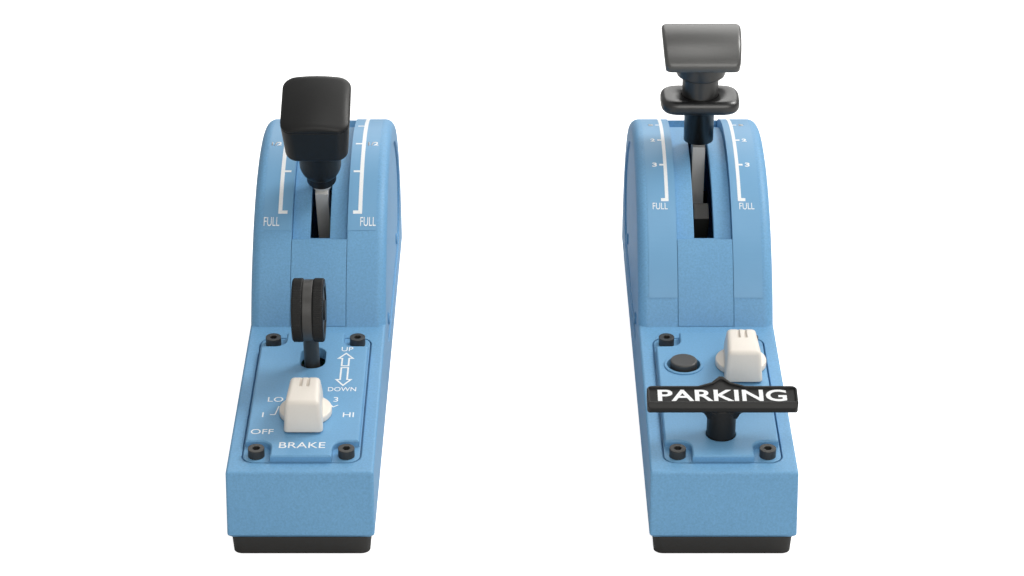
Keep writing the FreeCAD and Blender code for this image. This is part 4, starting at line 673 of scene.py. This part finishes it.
def roll_edges(shape, edges, width, segments):
    """The editor's bevel, as wide as it is asked for."""
    bmesh.ops.bevel(shape, geom=edges, offset=width * MM, offset_type="OFFSET",
                    segments=segments, profile=0.5, affect="EDGES", clamp_overlap=False,
                    loop_slide=True, material=-1)


def sharp_edges(shape, angle, floor):
    """The edges that turn by more than an angle and reach above a height in millimetres."""
    shape.normal_update()
    return [e for e in shape.edges if e.calc_face_angle(0) > radians(angle)
            and max(v.co.z for v in e.verts) > floor * MM]


def upright_edges(shape):
    return [e for e in shape.edges
            if (e.verts[0].co - e.verts[1].co).to_2d().length < 0.01 * MM]


LEVER_TILT = {"left": 26.4, "right": 5.3}     # degrees towards the user, at rest


def lever_frame(side):
    """The frame of a lever: its pivot is the origin, and z runs up along it."""
    pivot = Vector((CENTRE[side], DOME_Y, PIVOT_HEIGHT)) * MM
    return Matrix.Translation(pivot) @ Matrix.Rotation(radians(LEVER_TILT[side]), 4, "X")


# %% [markdown]
# ### The cap of the left lever's knob
# The cap is a cushion: its rim is rolled, and its top is domed, more across than along, so that
# the corners droop. To droop, a face needs points inside it, so planes cut the block into a grid
# first. Under the cap runs a fine groove, where the two halves of the knob meet, and it shows as
# a dark line.

# %% Cushioned cap
CORNER_ROLL, RIM_ROLL = 6.0, 2.8              # radii seen from above, and of the top's rim
SEAM_IN, SEAM_DEEP = 0.5, 0.42                # the groove under the cap


def build_brake_cap():
    half_width, half_depth = 15.6, 17.0
    foot, top = 144.0, 148.5                  # from the lever's pivot
    ball_across, ball_along = 44.0, 110.0     # radii of the top, left to right and along
    shape = block(((-half_depth, foot), (-half_depth, top), (half_depth, top),
                   (half_depth, foot)), half_width)
    roll_edges(shape, upright_edges(shape), CORNER_ROLL, 6)
    roll_edges(shape, [e for e in sharp_edges(shape, 60, foot + 1)
                       if min(v.co.z for v in e.verts) > (foot + 1) * MM], RIM_ROLL, 5)
    for axis, half in ((0, half_width), (1, half_depth)):
        for step in range(-3, 4):
            cut = Vector((0, 0, 0))
            cut[axis] = half * step / 4 * MM
            facing = Vector((0, 0, 0))
            facing[axis] = 1
            bmesh.ops.bisect_plane(shape, geom=shape.verts[:] + shape.edges[:] + shape.faces[:],
                                   plane_co=cut, plane_no=facing)
    for vert in shape.verts:
        droop = (vert.co.x ** 2 / ball_across + vert.co.y ** 2 / ball_along) / (2 * MM)
        vert.co.z -= droop * (vert.co.z / MM - foot) / (top - foot)
    shape.normal_update()
    floor = [f for f in shape.faces if f.normal.z < -0.99]
    bmesh.ops.inset_region(shape, faces=floor, thickness=SEAM_IN * MM, use_even_offset=True)
    under = bmesh.ops.extrude_face_region(shape, geom=floor)["geom"]
    bmesh.ops.delete(shape, geom=floor, context="FACES_ONLY")
    bmesh.ops.translate(shape, verts=verts_in(under), vec=(0, 0, -SEAM_DEEP * MM))
    bmesh.ops.recalc_face_normals(shape, faces=shape.faces)
    shape.transform(lever_frame("left"))
    cap = add_piece("cushioned_brake_cap", shape, "speed_brake_push_knob",
                    satin_black_abs, 50)
    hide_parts("speed_brake_knob_cap")


build_brake_cap()

# %% [markdown]
# ### The flap-shaped knob of the right lever
# From the side this knob is a small wing: a long curve on top and a blunt lip in front. Its side
# profile makes a block, whose corners are rolled in two passes: the upright ones wide, then all
# that is still sharp. Its ends lean in towards the foot.

# %% Flap-shaped knob
# Points of the side profile: towards the back, and up from the lever's pivot.
WING = ((-14.2, 133.4), (-15, 136.4), (-11.2, 140.1), (-7.5, 142.8), (-4, 144.6), (0, 146.0),
        (4, 146.85), (8, 147.1), (13, 146.7), (13, 132.2))
WING_TOP, WING_TALL = 147.1, 14.9
WING_HALF = 18.8                              # half its width
END_TAPER = 0.09                              # share of the width that is gone at the foot
LIP_CORNER, WING_ROLL = 3.2, 2.0              # the two passes of rolled edges


def build_flaps_knob():
    shape = block(WING, WING_HALF)
    # Of all its edges, only those of the lip and the back are both long and nearly upright.
    lip_and_back = [e for e in shape.edges if abs((e.verts[0].co - e.verts[1].co).z) > 2.8 * MM
                    and abs((e.verts[0].co - e.verts[1].co).y) < 1.0 * MM]
    roll_edges(shape, lip_and_back, LIP_CORNER, 5)
    roll_edges(shape, sharp_edges(shape, 28, 134), WING_ROLL, 4)
    for vert in shape.verts:
        vert.co.x *= 1 - END_TAPER * (WING_TOP - vert.co.z / MM) / WING_TALL
    shape.transform(lever_frame("right"))
    knob = add_piece("rolled_flaps_knob", shape, "flaps_lever",
                     silver_grey_nylon, 45)
    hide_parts("flaps_knob")


build_flaps_knob()

# %% [markdown]
# ### The flange below it
# The knob sits on a round flange with a softened lower edge. It is a turned part, so it is made
# as on a lathe: a few corners are spun a full turn round the lever.

# %% Flange
FLANGE = ((9.0, 126.1), (10.7, 126.2), (11.3, 126.5), (11.5, 127.1), (11.5, 133.6), (9.0, 133.6))


def turned(profile):
    """A bmesh spun about z from a profile of (radius, z) points in millimetres."""
    shape = bmesh.new()
    line = [shape.verts.new(Vector((r, 0, z)) * MM) for r, z in profile]
    edges = [shape.edges.new(pair) for pair in zip(line, line[1:] + line[:1])]
    bmesh.ops.spin(shape, geom=line + edges, cent=(0, 0, 0), axis=(0, 0, 1), angle=2 * pi,
                   steps=64, use_merge=True)
    bmesh.ops.recalc_face_normals(shape, faces=shape.faces)
    return shape


def build_flange():
    shape = turned(FLANGE)
    shape.transform(lever_frame("right"))
    add_piece("flaps_knob_flange", shape, "flaps_lever", polished_black_abs, 40)


build_flange()

# %% [markdown]
# ### The plate that two fingers lift
# The plate is a rounded rectangle, while its solid has half-round ends. A copy of the solid,
# with shared corners, keeps its bore, and its ends are only pushed out to a squarer curve, a
# superellipse: the higher its power, the squarer it is.

# %% Lift plate
END_CENTRE = 7.1                              # of a half-round end, from the plate's middle
BORE_KEPT = 6.0                               # points nearer than this to it are the bore's
PLATE_LOW = 108.0                             # the plate's tube lies lower, and keeps its shape
SQUARENESS = 3.4                              # the power of the new curve


def merged_copy(node):
    """A bmesh of a solid, whose loose triangles are joined at their corners."""
    shape = bmesh.new()
    shape.from_mesh(nodes[node].data)
    bmesh.ops.remove_doubles(shape, verts=shape.verts, dist=0.002 * MM)
    return shape


def build_lift_plate():
    shape = merged_copy("flaps_lift_plate")
    frame_matrix = lever_frame("right")
    shape.transform(frame_matrix.inverted())
    for vert in shape.verts:
        out, along = vert.co.y / MM, abs(vert.co.x) / MM - END_CENTRE
        reach = (out ** 2 + along ** 2) ** 0.5
        if along > 0 and reach > BORE_KEPT and vert.co.z > PLATE_LOW * MM:
            powers = (abs(along) / reach) ** SQUARENESS + (abs(out) / reach) ** SQUARENESS
            stretch = powers ** (-1 / SQUARENESS)
            vert.co.x += (stretch - 1) * along * MM * (1 if vert.co.x > 0 else -1)
            vert.co.y *= stretch
    shape.transform(frame_matrix)
    plate = add_piece("squared_lift_plate", shape, "flaps_lift_collar",
                      polished_black_abs, 40)
    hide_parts("flaps_lift_plate")


build_lift_plate()

# %% [markdown]
# ### Carving one block with another
# A groove is cut as a milling tool cuts it: a second block is taken away from the first. The
# Boolean modifier does that between two objects, so both get one for a moment, and the result is
# read back into a bmesh.

# %% Carving
def loose_object(shape):
    mesh = bpy.data.meshes.new("blank")
    shape.to_mesh(mesh)
    shape.free()
    blank = bpy.data.objects.new("blank", mesh)
    bpy.context.scene.collection.objects.link(blank)
    return blank


def carved(shape, cutter):
    """A bmesh of the shape less the cutter."""
    blank, tool = loose_object(shape), loose_object(cutter)
    carve = blank.modifiers.new("carve", "BOOLEAN")
    carve.operation = "DIFFERENCE"
    carve.solver = "EXACT"
    carve.object = tool
    result = bmesh.new()
    result.from_object(blank, bpy.context.evaluated_depsgraph_get())
    for thing in (blank, tool):
        mesh = thing.data
        bpy.data.objects.remove(thing)
        bpy.data.meshes.remove(mesh)
    return result


# %% [markdown]
# ### The two pointer knobs
# A pointer knob is a round skirt with a tall grip across it, moulded in one. The grip narrows
# upwards and towards its nose, so that it leaves the mould. Two grooves on its top show where it
# points: a trough is carved, less the ridge that stands in its middle.

# %% Pointer knobs
GRIP = ((-17.2, 0.5), (-16.4, 15.2), (5.0, 15.2), (14.0, 4.5), (13.4, 0.5))
GRIP_BACK, GRIP_LONG, GRIP_TALL = 17.2, 31.2, 14.9    # the lengths that it narrows over
GRIP_HALF = 8.5                               # half its width before it narrows
LESS_UP, LESS_NOSE = 0.12, 0.2                # share that is gone at its top, and at its nose
GRIP_ROLL, LIP_ROLL = 2.1, 0.6                # rounding of the grip, and of the skirt's lip
TROUGH = ((-3.4, 13.8), (-3.4, 16), (8, 16), (8, 13.8))
RIDGE = ((-5, 13), (-5, 17), (9, 17), (9, 13))
TROUGH_HALF, RIDGE_HALF = 2.1, 0.9            # the ridge parts the trough into two grooves
SKIRT_RADIUS, SKIRT_TALL = 11.3, 2.7
KNOB_RISE = 3.6                               # foot of the skirt above the deck


def build_pointer_knob(name, node, side, x, y, body):
    grip = block(GRIP, GRIP_HALF)
    for vert in grip.verts:
        rise = vert.co.z / MM / GRIP_TALL
        nose = (vert.co.y / MM + GRIP_BACK) / GRIP_LONG
        vert.co.x *= (1 - LESS_UP * rise) * (1 - LESS_NOSE * nose)
    roll_edges(grip, sharp_edges(grip, 25, 1.0), GRIP_ROLL, 4)
    grooves = carved(block(TROUGH, TROUGH_HALF), block(RIDGE, RIDGE_HALF))
    shape = carved(grip, grooves)
    rim = bmesh.ops.create_circle(shape, cap_ends=True, segments=64,
                                  radius=SKIRT_RADIUS * MM)["verts"]
    disc = rim[0].link_faces[0]
    raised = bmesh.ops.extrude_face_region(shape, geom=[disc], use_keep_orig=True)["geom"]
    top = verts_in(raised)
    bmesh.ops.translate(shape, verts=top, vec=(0, 0, SKIRT_TALL * MM))
    lip = [e for e in shape.edges if e.verts[0] in top and e.verts[1] in top]
    roll_edges(shape, lip, LIP_ROLL, 3)
    bmesh.ops.recalc_face_normals(shape, faces=shape.faces)
    shape.transform(on_deck(side, KNOB_RISE) @ Matrix.Translation((x * MM, y * MM, 0)))
    knob = add_piece(name, shape, body, warm_white_abs, 40)
    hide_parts(node)


build_pointer_knob("selector_pointer", "selector_knob", "left", 0, 42.6, "brake_selector")
build_pointer_knob("trim_pointer", "trim_knob", "right", 12.8, 85.2, "trim_control")

# %% [markdown]
# ### Where the parking handle's bar meets its stem
# The bar flows into the round stem through a short web on each side, as a moulded T needs. A
# side profile makes a block, which is then turned a quarter round and tilted with the bar.

# %% Web of the parking handle
WEB = ((-10.6, 0.6), (10.6, 0.6), (10.2, -0.3), (8.0, -1.2), (6.9, -2.4), (6.2, -4.0),
       (-6.2, -4.0), (-6.9, -2.4), (-8.0, -1.2), (-10.2, -0.3))
WEB_HALF, WEB_ROLL = 5.0, 0.8                 # half its thickness, and its rounded edges
WEB_PLACE = (0, 26.0, 17.8)                   # where bar and stem meet, on the deck's frame
BAR_TILT = 12.5                               # degrees that the bar's face turns to the user


def build_handle_web():
    shape = block(WEB, WEB_HALF)
    roll_edges(shape, sharp_edges(shape, 60, -2), WEB_ROLL, 2)
    shape.transform(on_deck("right") @ Matrix.Translation(Vector(WEB_PLACE) * MM)
                    @ Matrix.Rotation(radians(BAR_TILT), 4, "X")
                    @ Matrix.Rotation(pi / 2, 4, "Z"))
    add_piece("park_handle_web", shape, "park_pull", satin_black_abs, 40)


build_handle_web()

# %% [markdown]
# ## The knurled tyres of the gear wheel
# The little wheel that tops the landing-gear lever is knurled so that a fingertip finds it
# without looking. Straight knurling is a ring of small V-shaped teeth. Each tyre is a row of
# circles, one at every change of its outline, with the outer ones drawn in a little at the rims.
# Where it has teeth, every second corner is pulled in. Each circle is bridged to the next, and
# the last one back to the first.

# %% Knurled tyres
TEETH = 100
TOOTH = 0.35                                  # depth of a tooth
TYRE_RIM = 0.6                                # the rims are drawn in by this much
GEAR_BAND = 4.2                               # the smooth band between the tyres
GEAR_SEAT = 10.5                              # radius that the tyres sit on


def knurled_band(sheet, centre, low, high, radius, hole, tooth, rim):
    """Adds a toothed ring about the x axis, between two stations of x, all in millimetres."""
    stations = ((low, radius - rim, 1), (low + rim, radius, 1), (high - rim, radius, 1),
                (high, radius - rim, 1), (high, hole, 0), (low, hole, 0))
    rings = []
    for x, size, toothed in stations:
        ring = bmesh.ops.create_circle(sheet, segments=2 * TEETH, radius=size * MM)["verts"]
        for index, corner in enumerate(ring):
            if toothed and index % 2:
                corner.co *= (size - tooth) / size
        bmesh.ops.transform(sheet, verts=ring, matrix=Matrix.Translation(
            centre + Vector((x * MM, 0, 0))) @ Matrix.Rotation(pi / 2, 4, "Y"))
        rings.append([e for e in sheet.edges if e.verts[0] in ring and e.verts[1] in ring])
    for ring, following in zip(rings, rings[1:] + rings[:1]):
        bmesh.ops.bridge_loops(sheet, edges=ring + following)


def build_tyres():
    low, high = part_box("gear_wheel_tyres")
    centre = (low + high) / 2
    half = (high.x - low.x) / 2 / MM
    radius = (high.z - low.z) / 2 / MM
    band = GEAR_BAND / 2
    sheet = bmesh.new()
    for hand in (-1, 1):
        ends = sorted((hand * band, hand * half))
        knurled_band(sheet, centre, *ends, radius, GEAR_SEAT, TOOTH, TYRE_RIM)
    bmesh.ops.recalc_face_normals(sheet, faces=sheet.faces)
    tyres = add_piece("knurled_tyres", sheet, "gear_lever", satin_black_abs)
    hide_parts("gear_wheel_tyres")


build_tyres()

# %% [markdown]
# ## The film labels under the scales
# A film label is polyester a tenth of a millimetre thick. It is nearly the colour of the shell,
# but glossier and without grain, so its outline shows where light grazes it.

# %% Film labels
RIPPLE = 14.0                                 # width of the film's slow waves, in millimetres


def film(name):
    material, tree = empty_material(name)
    place = add(tree, "TexCoord").outputs["Object"]
    ripple = add(tree, "TexNoise", Vector=place, Scale=1 / (RIPPLE * MM), Detail=1.0)
    bumps = add(tree, "Bump", Strength=0.15, Distance=0.05 * MM,
                Height=ripple.outputs["Fac"])
    tone = add(tree, "Mix", {"data_type": "RGBA"}, Factor=ripple.outputs["Fac"],
               _6=linear("#71A5CD"), _7=linear("#76AAD2"))
    close(tree, add(tree, "BsdfPrincipled", Base_Color=tone.outputs[2], Roughness=0.42,
                    IOR=1.6, Specular_IOR_Level=0.3, Normal=bumps.outputs[0]))
    return material


matt_polyester_film = film("matt_polyester_film")


def build_films(side):
    sheet = bmesh.new()
    for hand in (-1, 1):
        arc_stroke(sheet, side, *mirrored(*FILM, hand), FILM_TOP, FILM_FOOT[side],
                   thick=-CLEAR)
    bmesh.ops.recalc_face_normals(sheet, faces=sheet.faces)
    add_piece(side + "_scale_film", sheet, "root", matt_polyester_film)


for side in CENTRE:
    build_films(side)
